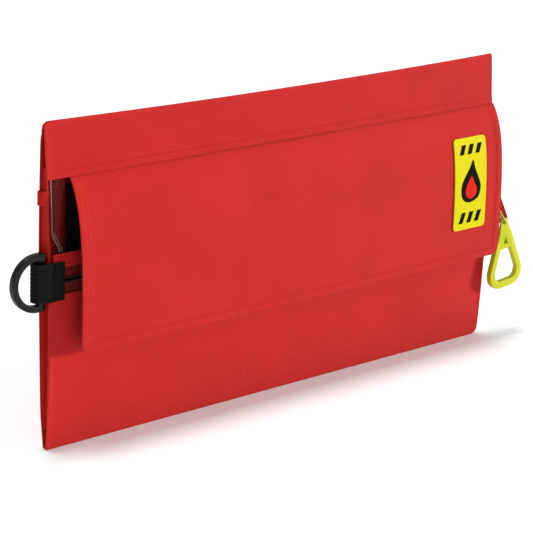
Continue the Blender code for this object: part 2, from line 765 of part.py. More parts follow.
def make_right_tab(cloth):
    """The tape tab at the zip's end: out from the side, drooping, its end curled under."""
    root = HALF - GUSSET_END + GAP + TAB_TAPE / 2
    points = [
        (0.0, -5.1), (0.0, 0.4), (2.0, 3.0), (6.0, 3.6), (10.5, 1.2),
        (17.5, -11.5), (23.8, -23.0), (25.2, -27.2), (23.6, -30.4), (20.6, -30.2),
    ]
    path = [(root + a * MM, ZIP_HEIGHT + b * MM) for a, b in smooth_path(points, 3)]
    start = front_y(ZIP_HEIGHT) + GUSSET_GAP
    turn = math.radians(TAB_TURN)

    def place(x, z, side):
        return x + side * TAB_WIDTH * math.sin(turn), start + side * TAB_WIDTH * math.cos(turn), z

    prism("zip_end_tab", cloth, tape_outline(path, TAB_TAPE), [], place)


def make_blanket(wool):
    """The folded blanket: a soft slab that fills the pouch and thins towards its edges."""

    def rounding(share):
        return max(0.12, (1 - abs(2 * share - 1) ** 6) ** 0.5)

    def half_thick(x, z):
        front = front_y(z) + BLANKET_FRONT
        back = back_y(x, z) - BLANKET_BACK
        share_x = (x + BLANKET_HALF) / (2 * BLANKET_HALF)
        share_z = (z - BLANKET_LOW) / (BLANKET_HIGH - BLANKET_LOW)
        middle, half = 0.5 * (front + back), 0.5 * (back - front)
        return middle, half * rounding(share_x) * rounding(share_z)

    def near(x, z):
        middle, half = half_thick(x, z)
        return middle - half

    def far(x, z):
        middle, half = half_thick(x, z)
        return middle + half

    ends = [0, 0.01, 0.03, 0.07, 0.15]
    columns = ends + [0.3, 0.5, 0.7] + [1 - u for u in reversed(ends)]
    rows = ends + [0.35, 0.5, 0.65] + [1 - u for u in reversed(ends)]
    outline = rectangle(-BLANKET_HALF, BLANKET_HALF, BLANKET_LOW, BLANKET_HIGH)
    sheet("folded_blanket", wool, columns, rows, outline, near, far)


def main():
    """Clear the scene and make every sub-part."""
    for obj in list(bpy.data.objects):
        bpy.data.objects.remove(obj)
    cloth = Finish("red_cloth", (0.58, 0.022, 0.022), 0.85)
    lining = Finish("red_lining", (0.40, 0.015, 0.015), 0.8)
    film = Finish("clear_film", (0.9, 0.9, 0.9), 0.08, transmission=0.9)
    tape = Finish("zip_tape", (0.25, 0.01, 0.01), 0.85)
    coil = Finish("black_nylon", (0.012, 0.012, 0.012), 0.4)
    metal = Finish("dark_metal", (0.05, 0.05, 0.05), 0.4, metallic=1.0)
    lime = Finish("lime_plastic", (0.55, 0.58, 0.02), 0.45)
    webbing = Finish("black_webbing", (0.010, 0.010, 0.010), 0.8)
    plastic = Finish("black_plastic", (0.008, 0.008, 0.008), 0.35)
    hook = Finish("hook_tape", (0.012, 0.012, 0.012), 0.9)
    label = Finish("yellow_label", (0.9, 0.62, 0.0), 0.5)
    wool = Finish("black_felt", (0.012, 0.012, 0.013), 0.95)

    make_body(cloth)
    make_window(film)
    make_zip(tape, coil, metal)
    make_slider(metal, lime)
    make_flap(cloth, lining, hook, label)
    make_left_fittings(webbing, plastic, cloth)
    make_right_tab(cloth)
    make_blanket(wool)


main()
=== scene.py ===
"""Looks of a red cloth fire blanket pouch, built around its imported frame.

The pouch stands on its lower edge. +X runs along its width towards the zip
pull, the front faces -Y and +Z is up. Every length is in metres.
"""

from __future__ import annotations

import json
import logging
import math
from collections.abc import Callable, Iterable, Iterator
from contextlib import contextmanager
from dataclasses import dataclass, field
from enum import Enum

import bmesh
import bpy
from mathutils import Matrix, Vector, noise

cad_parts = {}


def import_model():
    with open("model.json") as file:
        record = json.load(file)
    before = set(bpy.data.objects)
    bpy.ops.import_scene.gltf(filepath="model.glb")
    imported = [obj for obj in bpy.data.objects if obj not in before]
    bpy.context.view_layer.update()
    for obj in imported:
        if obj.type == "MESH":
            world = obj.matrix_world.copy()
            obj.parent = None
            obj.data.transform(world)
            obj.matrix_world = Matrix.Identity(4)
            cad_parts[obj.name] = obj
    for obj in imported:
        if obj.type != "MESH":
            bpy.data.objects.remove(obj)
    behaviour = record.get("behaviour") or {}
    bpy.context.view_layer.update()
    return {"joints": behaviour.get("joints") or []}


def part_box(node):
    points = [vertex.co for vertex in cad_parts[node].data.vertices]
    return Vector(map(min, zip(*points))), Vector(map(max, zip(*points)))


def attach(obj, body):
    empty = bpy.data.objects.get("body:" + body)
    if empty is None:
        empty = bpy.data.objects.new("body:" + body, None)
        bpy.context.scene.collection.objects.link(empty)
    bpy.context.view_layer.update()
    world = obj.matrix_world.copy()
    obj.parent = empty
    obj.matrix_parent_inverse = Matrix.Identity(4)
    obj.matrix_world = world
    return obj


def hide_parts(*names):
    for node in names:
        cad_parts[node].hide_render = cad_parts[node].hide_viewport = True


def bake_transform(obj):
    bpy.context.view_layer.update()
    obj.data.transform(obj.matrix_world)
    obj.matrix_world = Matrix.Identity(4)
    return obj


LOG = logging.getLogger("pouch")
MM = 0.001
CLOTH_UV = "Cloth"

Point = tuple[float, float]
Triple = tuple[float, float, float]
Shape = Callable[[float, float], Triple]
Placer = Callable[[float, float, float], Triple]

# A hem is folded over and sewn this far from the cloth's edge.
HEM_WIDTH = 7.2 * MM
HEM_STITCH = 5.6 * MM
HEM_STEPS = (0.0, 0.4, 1.0, 2.0, 3.4, 4.6, 5.1, 5.6, 6.1, 6.6, 7.2, 8.2, 9.6)
RIM_ROUNDING = 0.3
RIM_ANGLE = math.radians(55)
EDGE_ANGLE = math.radians(50)


class Slot(Enum):
    """The record's material slots."""

    CLOTH = "red_cloth"
    LINING = "red_lining"
    FILM = "clear_film"
    TAPE = "zip_tape"
    NYLON = "black_nylon"
    METAL = "dark_metal"
    CORD = "lime_cord"
    PULL = "lime_plastic"
    WEBBING = "black_webbing"
    PLASTIC = "black_plastic"
    HOOK = "hook_tape"
    LABEL = "yellow_label"
    FELT = "black_felt"


# --- shaping helpers -------------------------------------------------------


def smooth(t: float) -> float:
    """Ease from 0 to 1, flat at both ends."""
    t = min(1.0, max(0.0, t))
    return t * t * (3 - 2 * t)


def even(count: int) -> list[float]:
    """Shares from 0 to 1 in equal steps."""
    return [i / count for i in range(count + 1)]


def hemmed(length: float, step: float, low: bool = True, high: bool = True) -> list[float]:
    """Shares along a length, set close beside the hemmed ends.

    Args:
        length: Length of the cloth in this direction.
        step: Spacing away from the hems.
        low: Whether the end at 0 is hemmed.
        high: Whether the end at 1 is hemmed.

    Returns:
        Rising shares from 0 to 1.
    """
    fine = [f * MM / length for f in HEM_STEPS]
    lead = fine if low else [0.0]
    tail = [1 - f for f in reversed(fine)] if high else [1.0]
    count = max(2, round((tail[0] - lead[-1]) * length / step))
    gap = (tail[0] - lead[-1]) / count
    return lead + [lead[-1] + gap * i for i in range(1, count)] + tail


def deselect_all() -> None:
    """Clear the selection, so that an operator acts on one piece only."""
    for item in bpy.context.selected_objects:
        item.select_set(False)


def make_active(piece: bpy.types.Object) -> None:
    """Select the piece alone and make it active."""
    deselect_all()
    piece.select_set(True)
    bpy.context.view_layer.objects.active = piece


@contextmanager
def all_selected(piece: bpy.types.Object) -> Iterator[None]:
    """Edit the piece's mesh with all of it selected."""
    make_active(piece)
    bpy.ops.object.mode_set(mode="EDIT")
    bpy.ops.mesh.select_all(action="SELECT")
    yield
    bpy.ops.object.mode_set(mode="OBJECT")


def face_outwards(piece: bpy.types.Object) -> None:
    """Turn the piece's faces outwards."""
    with all_selected(piece):
        bpy.ops.mesh.normals_make_consistent(inside=False)


def apply_modifiers(piece: bpy.types.Object, crease: float = 40.0) -> bpy.types.Object:
    """Apply every modifier and smooth the faces up to the crease angle, in degrees."""
    make_active(piece)
    for modifier in list(piece.modifiers):
        bpy.ops.object.modifier_apply(modifier=modifier.name)
    bpy.ops.object.shade_smooth_by_angle(angle=math.radians(crease))
    return piece


def grid_sheet(
    name: str,
    columns: list[float],
    rows: list[float],
    shape: Shape,
    size: Point,
    thickness: float,
    offset: float = -1.0,
) -> bpy.types.Object:
    """Lay a grid over a shape and give it a thickness and soft rims.

    Args:
        name: Name of the piece.
        columns: Shares across the sheet, from 0 to 1.
        rows: Shares up the sheet, from 0 to 1.
        shape: Gives a point for a share across and a share up.
        size: Flat width and height, for the cloth's UV map.
        thickness: Thickness of the sheet.
        offset: Side on which the thickness lies: -1 behind the face, 0 both.

    Returns:
        The finished sheet.
    """
    deselect_all()
    across, up = len(columns) - 1, len(rows) - 1
    bpy.ops.mesh.primitive_grid_add(
        x_subdivisions=across, y_subdivisions=up, size=1.0, calc_uvs=True
    )
    piece = bpy.context.object
    piece.name = piece.data.name = name
    flat: list[Point] = []
    for vertex in piece.data.vertices:
        u = columns[round((vertex.co.x + 0.5) * across)]
        v = rows[round((vertex.co.y + 0.5) * up)]
        flat.append((u * size[0], v * size[1]))
        vertex.co = shape(u, v)
    layer = piece.data.uv_layers.active
    layer.name = CLOTH_UV
    for loop in piece.data.loops:
        layer.data[loop.index].uv = flat[loop.vertex_index]
    wall = piece.modifiers.new("wall", "SOLIDIFY")
    wall.thickness = thickness
    wall.offset = offset
    wall.use_even_offset = False
    edge = piece.modifiers.new("rim", "BEVEL")
    edge.limit_method = "ANGLE"
    edge.angle_limit = RIM_ANGLE
    edge.width = RIM_ROUNDING * thickness
    edge.segments = 2
    return apply_modifiers(piece)


def outlined_plate(
    name: str,
    outline: list[Point],
    thickness: float,
    place: Placer,
    holes: Iterable[list[Point]] = (),
    round_by: float = 0.0,
    segments: int = 3,
    crease: float = 40.0,
    bands: Iterable[float] = (),
) -> bpy.types.Object:
    """Cut a plate to an outline, with holes and rounded edges, and put it in place.

    Args:
        name: Name of the piece.
        outline: Corner points, counter-clockwise.
        thickness: Thickness of the plate.
        place: Turns plate coordinates a, b and depth into a point.
        holes: Outlines cut through the plate.
        round_by: Radius that its edges are rounded to.
        segments: Steps in that rounding.
        crease: Angle in degrees up to which faces are shaded as one.
        bands: Places in b at which the plate is cut across, to follow a curve.

    Returns:
        The finished plate.
    """
    piece = filled_outline(name, outline, thickness)
    for height in bands:
        with all_selected(piece):
            bpy.ops.mesh.bisect(plane_co=(0, height, 0), plane_no=(0, 1, 0))
    for number, hole in enumerate(holes):
        cutter = filled_outline(f"{name}_cutter{number}", hole, 3 * thickness)
        cut = piece.modifiers.new("cut", "BOOLEAN")
        cut.operation = "DIFFERENCE"
        cut.solver = "EXACT"
        cut.object = cutter
        make_active(piece)
        bpy.ops.object.modifier_apply(modifier=cut.name)
        bpy.data.objects.remove(cutter)
    if round_by:
        edge = piece.modifiers.new("round", "BEVEL")
        edge.limit_method = "ANGLE"
        edge.angle_limit = EDGE_ANGLE
        edge.width = round_by
        edge.segments = segments
        apply_modifiers(piece, crease)
        move_vertices(piece, place)
    else:
        move_vertices(piece, place)
        apply_modifiers(piece, crease)
    face_outwards(piece)
    return piece


def move_vertices(piece: bpy.types.Object, place: Placer) -> None:
    """Put every vertex where the placer says."""
    for vertex in piece.data.vertices:
        vertex.co = place(*vertex.co)


def filled_outline(name: str, outline: list[Point], thickness: float) -> bpy.types.Object:
    """Make a flat plate of this outline, centred on depth 0."""
    deselect_all()
    bpy.ops.mesh.primitive_circle_add(vertices=len(outline), fill_type="NGON")
    piece = bpy.context.object
    piece.name = piece.data.name = name
    ring = [piece.data.loops[i].vertex_index for i in piece.data.polygons[0].loop_indices]
    for index, (a, b) in zip(ring, outline):
        piece.data.vertices[index].co = (a, b, -thickness / 2)
    with all_selected(piece):
        bpy.ops.mesh.extrude_region_move(TRANSFORM_OT_translate={"value": (0, 0, thickness)})
    face_outwards(piece)
    return piece


def upright(depth: float, rise: float = 0.0) -> Placer:
    """Stand a plate up to face the front, at this depth and this much higher."""
    return lambda a, b, c: (a, depth + c, rise + b)


def rectangle(left: float, low: float, right: float, high: float) -> list[Point]:
    """The corners of a rectangle, counter-clockwise."""
    return [(left, low), (right, low), (right, high), (left, high)]


def corner_drop(past: float, radius: float) -> float:
    """How far a rounded corner falls back, this far past the place where it begins."""
    over = min(radius, max(0.0, past))
    return radius - math.sqrt(radius**2 - over**2)


def frame_box(node: str) -> tuple[Vector, Vector, Point]:
    """A node's two corners in the frame, with its width and height."""
    low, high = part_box(node)
    return low, high, (high.x - low.x, high.z - low.z)


def arc(cx: float, cy: float, radius: float, start: float, end: float, steps: int) -> list[Point]:
    """Points along an arc, angles in degrees."""
    turns = [math.radians(start + (end - start) * i / steps) for i in range(steps + 1)]
    return [(cx + radius * math.cos(t), cy + radius * math.sin(t)) for t in turns]


def spread(path: list[Vector], pitch: float) -> list[tuple[Vector, Vector]]:
    """Points at an even pitch along a path, each with the path's direction there."""
    places: list[tuple[Vector, Vector]] = []
    left = pitch / 2
    for start, end in zip(path, path[1:]):
        step = end - start
        length = step.length
        while left <= length and length > 0:
            places.append((start + step * (left / length), step.normalized()))
            left += pitch
        left -= length
    return places


def smooth_path(points: list[Point], steps: int) -> list[Point]:
    """A curve that passes smoothly through flat points."""

    def between(t: float, a: float, b: float, c: float, d: float) -> float:
        bent = 2 * a - 5 * b + 4 * c - d + t * (3 * (b - c) + d - a)
        return b + 0.5 * t * (c - a + t * bent)

    ends = [points[0], *points, points[-1]]
    path: list[Point] = []
    for four in zip(ends, ends[1:], ends[2:], ends[3:]):
        for k in range(steps):
            path.append(tuple(between(k / steps, *axis) for axis in zip(*four)))
    return [*path, points[-1]]


@dataclass(frozen=True)
class Slack:
    """Unevenness of a cloth: its waves per metre, and where the noise is read."""

    across: float
    up: float
    seed: float

    def at(self, x: float, z: float) -> float:
        """Its height here, from -1 to 1."""
        return noise.noise(Vector((x * self.across, z * self.up, self.seed)))


FRONT_SLACK = Slack(14, 9, 0.4)
FRONT_CREASES = Slack(42, 30, 7.1)
BACK_SLACK = Slack(11, 13, 3.3)
FLAP_SLACK = Slack(13, 12, 21.0)
FLAP_CREASES = Slack(45, 22, 5.0)
HOOK_FUZZ = Slack(900, 900, 1.0)


@dataclass
class Beads:
    """Copies of one small shape along a path, such as stitches or zip teeth."""

    length: float = 2.7 * MM
    width: float = 0.6 * MM
    height: float = 0.5 * MM
    pitch: float = 3.7 * MM
    segments: int = 6
    rings: int = 4
    across: bool = False

    def build(self, name: str, paths: list[list[Vector]]) -> bpy.types.Object:
        """Lay the beads along every path.

        Args:
            name: Name of the piece.
            paths: Centre lines that the beads follow.

        Returns:
            One object that holds all the beads.
        """
        deselect_all()
        bpy.ops.mesh.primitive_uv_sphere_add(
            segments=self.segments, ring_count=self.rings, radius=0.5
        )
        bead = bpy.context.object
        bead.name = bead.data.name = name
        bead.data.transform(Matrix.Rotation(math.radians(90), 4, "Y"))
        bead.data.transform(Matrix.Diagonal((self.length, self.width, self.height, 1)))
        pool = bmesh.new()
        for path in paths:
            for place, along in spread(path, self.pitch):
                copy = bead.data.copy()
                front = Vector((0, -1, 0))
                if abs(along.dot(front)) > 0.9:
                    front = Vector((1, 0, 0))
                if self.across:
                    along = front.cross(along).normalized()
                side = front.cross(along).normalized()
                out = along.cross(side).normalized()
                turn = Matrix((along, side, out)).transposed().to_4x4()
                copy.transform(Matrix.Translation(place) @ turn)
                pool.from_mesh(copy)
                bpy.data.meshes.remove(copy)
        pool.to_mesh(bead.data)
        pool.free()
        make_active(bead)
        bpy.ops.object.shade_smooth()
        return bead


# --- finishes ----------------------------------------------------------------


def add_node(
    tree: bpy.types.NodeTree, kind: str, inputs: dict[str | int, object], **settings: object
) -> bpy.types.Node:
    """Add a shader node.

    Args:
        tree: The tree that it goes in.
        kind: Its type, without the word for shader node in front.
        inputs: For each input either a number or the socket that it's linked to.
        settings: Properties that are set before the inputs.

    Returns:
        The new node.
    """
    node = tree.nodes.new("ShaderNode" + kind)
    for key, value in settings.items():
        setattr(node, key, value)
    for key, value in inputs.items():
        if isinstance(value, bpy.types.NodeSocket):
            tree.links.new(value, node.inputs[key])
        else:
            node.inputs[key].default_value = value
    return node


class ShaderKit:
    """Shader node groups that several finishes share."""

    def __init__(self) -> None:
        """Build each group once."""
        self.weave = self._weave_group()
        self.mottle = self._mottle_group()

    @staticmethod
    def _start(
        name: str, inputs: dict[str, float], outputs: list[str]
    ) -> tuple[bpy.types.NodeTree, bpy.types.Node, bpy.types.Node]:
        """Open a node group that takes a vector and these numbers.

        Args:
            name: Name of the group.
            inputs: Default of each number that it takes.
            outputs: Names of its value outputs.

        Returns:
            The group, its input node and its output node.
        """
        group = bpy.data.node_groups.new(name, "ShaderNodeTree")
        group.interface.new_socket("Vector", in_out="INPUT", socket_type="NodeSocketVector")
        for label, default in inputs.items():
            socket = group.interface.new_socket(
                label, in_out="INPUT", socket_type="NodeSocketFloat"
            )
            socket.default_value = default
        for label in outputs:
            group.interface.new_socket(label, in_out="OUTPUT", socket_type="NodeSocketFloat")
        return group, group.nodes.new("NodeGroupInput"), group.nodes.new("NodeGroupOutput")

    @classmethod
    def _weave_group(cls) -> bpy.types.NodeTree:
        """Threads passing over and under each other, as a height and a thread tone."""
        group, entry, leave = cls._start(
            "woven_threads", {"Across": 1400, "Along": 1400}, ["Height", "Tone"]
        )
        vector = entry.outputs["Vector"]
        split = add_node(group, "SeparateXYZ", {0: vector})
        waves = []
        for axis, label in (("X", "Across"), ("Y", "Along")):
            count = {0: split.outputs[axis], 1: entry.outputs[label]}
            scaled = add_node(group, "Math", count, operation="MULTIPLY")
            angle = {0: scaled.outputs[0], 1: math.pi}
            turned = add_node(group, "Math", angle, operation="MULTIPLY")
            waves.append(add_node(group, "Math", {0: turned.outputs[0]}, operation="SINE"))
        cross = {number: wave.outputs[0] for number, wave in enumerate(waves)}
        crossed = add_node(group, "Math", cross, operation="MULTIPLY")
        height = {0: crossed.outputs[0], 1: 0.5, 2: 0.5}
        over = add_node(group, "Math", height, operation="MULTIPLY_ADD")
        tones = add_node(group, "TexNoise", {"Scale": 1900.0, "Detail": 1.0, "Vector": vector})
        group.links.new(over.outputs[0], leave.inputs["Height"])
        group.links.new(tones.outputs["Fac"], leave.inputs["Tone"])
        return group

    @classmethod
    def _mottle_group(cls) -> bpy.types.NodeTree:
        """Soft large patches and fine specks, for colour and roughness that vary."""
        group, entry, leave = cls._start(
            "mottle", {"Patches": 18, "Specks": 900}, ["Patch", "Speck"]
        )
        for label, out, detail in (("Patches", "Patch", 3.0), ("Specks", "Speck", 2.0)):
            reads = {
                "Vector": entry.outputs["Vector"], "Scale": entry.outputs[label], "Detail": detail
            }
            cloud = add_node(group, "TexNoise", reads)
            group.links.new(cloud.outputs["Fac"], leave.inputs[out])
        return group


@dataclass(frozen=True)
class Finish:
    """One material: its colours, gloss and surface detail.

    A finish with threads is woven, with that many threads per metre each way, and has painted shade
    in the hollows of its weave.
    """

    name: str
    color: Triple
    shade: Triple
    roughness: float = 0.8
    rough_spread: float = 0.08
    threads: Point | None = None
    relief: float = 0.12 * MM
    gloss: float = 0.5
    sheen: float = 0.0
    metallic: float = 0.0
    transmission: float = 0.0
    ior: float = 1.5
    patches: float = 18.0
    patch_range: float = 0.5
    specks: float = 900.0
    speck_relief: float = 0.02 * MM
    uv: bool = True

    def build(self, kit: ShaderKit) -> bpy.types.Material:
        """Make the material.

        Args:
            kit: The shared shader groups.

        Returns:
            The finished material.
        """
        material = bpy.data.materials.new(self.name)
        material.use_nodes = True
        tree = material.node_tree
        shader = tree.nodes["Principled BSDF"]
        for label, value in {
            "Metallic": self.metallic,
            "Sheen Weight": self.sheen,
            "Sheen Roughness": 0.5,
            "Transmission Weight": self.transmission,
            "IOR": self.ior,
            "Specular IOR Level": self.gloss,
        }.items():
            shader.inputs[label].default_value = value
        if self.uv:
            vector = add_node(tree, "UVMap", {}, uv_map=CLOTH_UV).outputs["UV"]
        else:
            vector = add_node(tree, "TexCoord", {}).outputs["Object"]
        spots = {"Patches": self.patches, "Specks": self.specks, "Vector": vector}
        mottle = add_node(tree, "Group", spots, node_tree=kit.mottle)
        patchy = {
            "From Min": 0.5 - self.patch_range,
            "From Max": 0.5 + self.patch_range,
            "Value": mottle.outputs["Patch"],
        }
        factor = add_node(tree, "MapRange", patchy).outputs["Result"]
        relief, depth = mottle.outputs["Speck"], self.speck_relief
        if self.threads:
            counts = {"Across": self.threads[0], "Along": self.threads[1], "Vector": vector}
            woven = add_node(tree, "Group", counts, node_tree=kit.weave)
            # Painted shade in the weave: the colour is lighter on the raised threads and darker in
            # the hollows between them, following the weave's height; the thread tone and the
            # patches on top vary at random.
            tones = {0: woven.outputs["Height"], 1: 0.55, 2: woven.outputs["Tone"]}
            thread = add_node(tree, "Math", tones, operation="MULTIPLY_ADD")
            mixed = {0: thread.outputs[0], 1: factor}
            factor = add_node(tree, "Math", mixed, operation="MULTIPLY").outputs[0]
            relief, depth = woven.outputs["Height"], self.relief
        colors = {"A": (*self.shade, 1), "B": (*self.color, 1), "Factor": factor}
        blend = add_node(tree, "Mix", colors, data_type="RGBA")
        tree.links.new(blend.outputs["Result"], shader.inputs["Base Color"])
        specks = {
            "To Min": self.roughness - self.rough_spread,
            "To Max": self.roughness + self.rough_spread,
            "Value": mottle.outputs["Speck"],
        }
        rough = add_node(tree, "MapRange", specks)
        tree.links.new(rough.outputs["Result"], shader.inputs["Roughness"])
        bump = add_node(tree, "Bump", {"Distance": depth, "Height": relief})
        tree.links.new(bump.outputs["Normal"], shader.inputs["Normal"])
        return material


CLOTH = Finish(
    "red_pouch_cloth", (0.60, 0.014, 0.010), (0.42, 0.008, 0.006), 0.86,
    threads=(1250.0, 1250.0), relief=0.22 * MM, gloss=0.2, sheen=0.03,
)
LINING = Finish(
    "red_lining", (0.42, 0.016, 0.014), (0.32, 0.012, 0.010), 0.78,
    threads=(1800.0, 1800.0), relief=0.08 * MM, gloss=0.2,
)
THREAD = Finish(
    "red_thread", (0.50, 0.016, 0.012), (0.30, 0.008, 0.006), 0.8, gloss=0.05, uv=False
)
# Painted shade: the film is tinted grey-pink, so that the inside of the pouch seen through it looks
# as dark as it does in shade.
FILM = Finish(
    "clear_film", (0.80, 0.70, 0.72), (0.60, 0.52, 0.54), 0.10, 0.06,
    transmission=1.0, speck_relief=0.05 * MM, specks=420.0, gloss=0.1, ior=1.14,
)
FILM_EDGE = Finish("film_edge", (0.26, 0.20, 0.21), (0.12, 0.08, 0.09), 0.45, uv=False)
TAPE = Finish(
    "zip_tape", (0.26, 0.012, 0.012), (0.16, 0.007, 0.008), 0.85,
    threads=(2000.0, 1100.0), relief=0.14 * MM, gloss=0.2,
)
NYLON = Finish("black_nylon", (0.012, 0.010, 0.010), (0.005, 0.005, 0.005), 0.42, uv=False)
METAL = Finish(
    "dark_metal", (0.10, 0.10, 0.105), (0.05, 0.05, 0.055), 0.36, 0.10,
    metallic=1.0, uv=False, specks=1500.0,
)
CORD = Finish(
    "lime_cord", (0.42, 0.42, 0.030), (0.26, 0.26, 0.018), 0.6, uv=False, specks=2200.0,
    speck_relief=0.10 * MM,
)
PULL = Finish(
    "lime_plastic", (0.56, 0.58, 0.004), (0.46, 0.47, 0.003), 0.45, 0.06,
    uv=False, gloss=0.2, specks=1600.0, speck_relief=0.012 * MM,
)
WEBBING = Finish(
    "black_webbing", (0.0045, 0.0045, 0.005), (0.002, 0.002, 0.002), 0.9,
    threads=(1100.0, 700.0), relief=0.30 * MM, gloss=0.2,
)
BLACK_THREAD = Finish(
    "black_thread", (0.004, 0.004, 0.004), (0.002, 0.002, 0.002), 0.9, gloss=0.1, uv=False
)
PLASTIC = Finish(
    "black_plastic", (0.004, 0.004, 0.0045), (0.002, 0.002, 0.002), 0.24, 0.05,
    uv=False, gloss=0.22, specks=1400.0, speck_relief=0.010 * MM,
)
HOOK = Finish(
    "hook_tape", (0.022, 0.020, 0.020), (0.008, 0.008, 0.008), 0.9,
    specks=1400.0, speck_relief=0.5 * MM, gloss=0.2, sheen=0.1,
)
LABEL = Finish("yellow_label", (0.66, 0.60, 0.001), (0.60, 0.54, 0.001), 0.7, 0.05, gloss=0.08)
PRINT_BLACK = Finish(
    "print_black", (0.003, 0.003, 0.003), (0.002, 0.002, 0.002), 0.8, gloss=0.05, uv=False
)
PRINT_RED = Finish(
    "print_red", (0.70, 0.02, 0.008), (0.64, 0.016, 0.006), 0.8, gloss=0.05, uv=False
)
FELT = Finish(
    "black_felt", (0.016, 0.013, 0.014), (0.005, 0.004, 0.004), 0.95,
    specks=700.0, speck_relief=0.6 * MM, gloss=0.2, sheen=0.1,
)


# --- the pouch ------------------------------------------------------------------


@dataclass(frozen=True)
class Bend:
    """Cloth that spans two bodies, from a start point to an end point."""

    before: str
    after: str
    start: Triple
    end: Triple


@dataclass
class Workshop:
    """Dresses pieces and hangs them on their bodies."""

    kit: ShaderKit
    finishes: dict[str, bpy.types.Material] = field(default_factory=dict)

    def material(self, finish: Finish) -> bpy.types.Material:
        """The material of a finish, made on first use."""
        if finish.name not in self.finishes:
            self.finishes[finish.name] = finish.build(self.kit)
        return self.finishes[finish.name]

    def place(
        self, piece: bpy.types.Object, finish: Finish, slot: Slot, body: str | Bend,
        replaces: Iterable[str] = (),
    ) -> None:
        """Dress a piece and let it ride on a body; a piece that spans two bodies is baked in place
        on neither.

        Args:
            piece: The finished piece.
            finish: Its finish.
            slot: The record's slot that the finish stands for; not used.
            body: The body that it rides on, or the two bodies that it spans.
            replaces: The CAD nodes that it stands for.
        """
        piece.data.materials.clear()
        piece.data.materials.append(self.material(finish))
        if isinstance(body, Bend):
            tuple(body.start)
            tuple(body.end)
            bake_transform(piece)
        else:
            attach(piece, body)
        if replaces:
            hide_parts(*replaces)
        LOG.info("placed %s on %s", piece.name, body)


@dataclass
class PouchForm:
    """The outer shape that the layers of the pouch share."""

    half: float
    height: float
    front_at_base: float = 6.0 * MM
    front_at_top: float = 1.5 * MM
    front_bulge: float = 5.0 * MM
    top_sag: float = 2.0 * MM
    top_corner: float = 4.5 * MM
    back_corner: float = -2.0 * MM
    closed_in: float = 1.6 * MM
    closed_height: float = 30 * MM
    back_base: float = 6.0 * MM
    back_top: float = 0.8 * MM
    back_end_bulge: float = 3.1 * MM
    back_flat: float = 9.4 * MM
    back_flat_share: float = 0.35
    back_wide: float = 0.55
    back_slack: float = 0.8 * MM
    ripple_depth: float = 0.55 * MM
    held_within: float = 20 * MM
    foot_left: float = 2 * MM
    foot_right: float = 6 * MM

    @classmethod
    def from_frame(cls) -> PouchForm:
        """Read the pouch's width and height from the frame."""
        low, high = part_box("back_panel")
        return cls(half=high.x, height=high.z)

    def share(self, z: float) -> float:
        """How far up the pouch this height lies, from 0 to 1."""
        return min(1.0, max(0.0, z / self.height))

    def ripple(self, x: float, z: float) -> float:
        """Slack of the cloth that all front layers follow together."""
        below = min(1.0, max(0.0, (self.height - z) / self.held_within))
        held = min(1.0, z / self.held_within) * below
        slack = 1.1 * FRONT_SLACK.at(x, z) + 0.35 * FRONT_CREASES.at(x, z)
        return self.ripple_depth * held * slack

    def smooth_front(self, z: float) -> float:
        """Outer face of the front without its slack."""
        share = self.share(z)
        straight = self.front_at_base * (1 - share) + self.front_at_top * share
        bulge = self.front_bulge * max(0.0, math.sin(math.pi * share)) ** 0.7
        return -(straight + bulge)

    def front(self, x: float, z: float) -> float:
        """Outer face of the front."""
        return self.smooth_front(z) - self.ripple(x, z)

    def back(self, x: float, z: float) -> float:
        """Outer face of the back."""
        share = self.share(z)
        end = self.back_corner * (1 - share) + self.back_top * share
        end += self.back_end_bulge * max(0.0, math.sin(math.pi * share)) ** 0.7
        end -= self.closed_in * (1 - smooth(z / self.closed_height))
        straight = self.back_base * (1 - share) + self.back_top * share
        full = smooth(share / self.back_flat_share) * smooth((1 - share) / self.back_flat_share)
        middle = straight + (self.back_flat - straight) * full
        wide = 1 - smooth((abs(x) / self.half - self.back_wide) / (1 - self.back_wide))
        slack = self.back_slack * BACK_SLACK.at(x, z) * full
        return end + (middle - end) * wide + min(0.0, slack)

    def top(self, x: float) -> float:
        """Height of the top edge, rounded at its left end."""
        drop = corner_drop(self.top_corner - self.half - x, self.top_corner)
        return self.height - self.top_sag * (1 - (x / self.half) ** 2) - drop

    def base(self, x: float) -> float:
        """Height of the lower edge, rounded at its corners."""
        radius = self.foot_right if x > 0 else self.foot_left
        return corner_drop(abs(x) - (self.half - radius), radius)


def hem_lift(
    distance: float, lift: float = 0.35 * MM, slope: float = 1.2 * MM,
    groove: float = 0.30 * MM, groove_width: float = 0.55 * MM,
) -> float:
    """How far a folded hem stands up, with a groove where its stitches pull it in.

    Args:
        distance: Distance from the cloth's edge.
        lift: Height of the fold's extra layer.
        slope: Length over which the fold runs out.
        groove: Depth to which the stitches pull the cloth in.
        groove_width: Half width of that groove.

    Returns:
        The lift at that distance.
    """
    fold = lift * (1 - smooth((distance - HEM_WIDTH + slope) / slope))
    return fold - groove * math.exp(-(((distance - HEM_STITCH) / groove_width) ** 2))


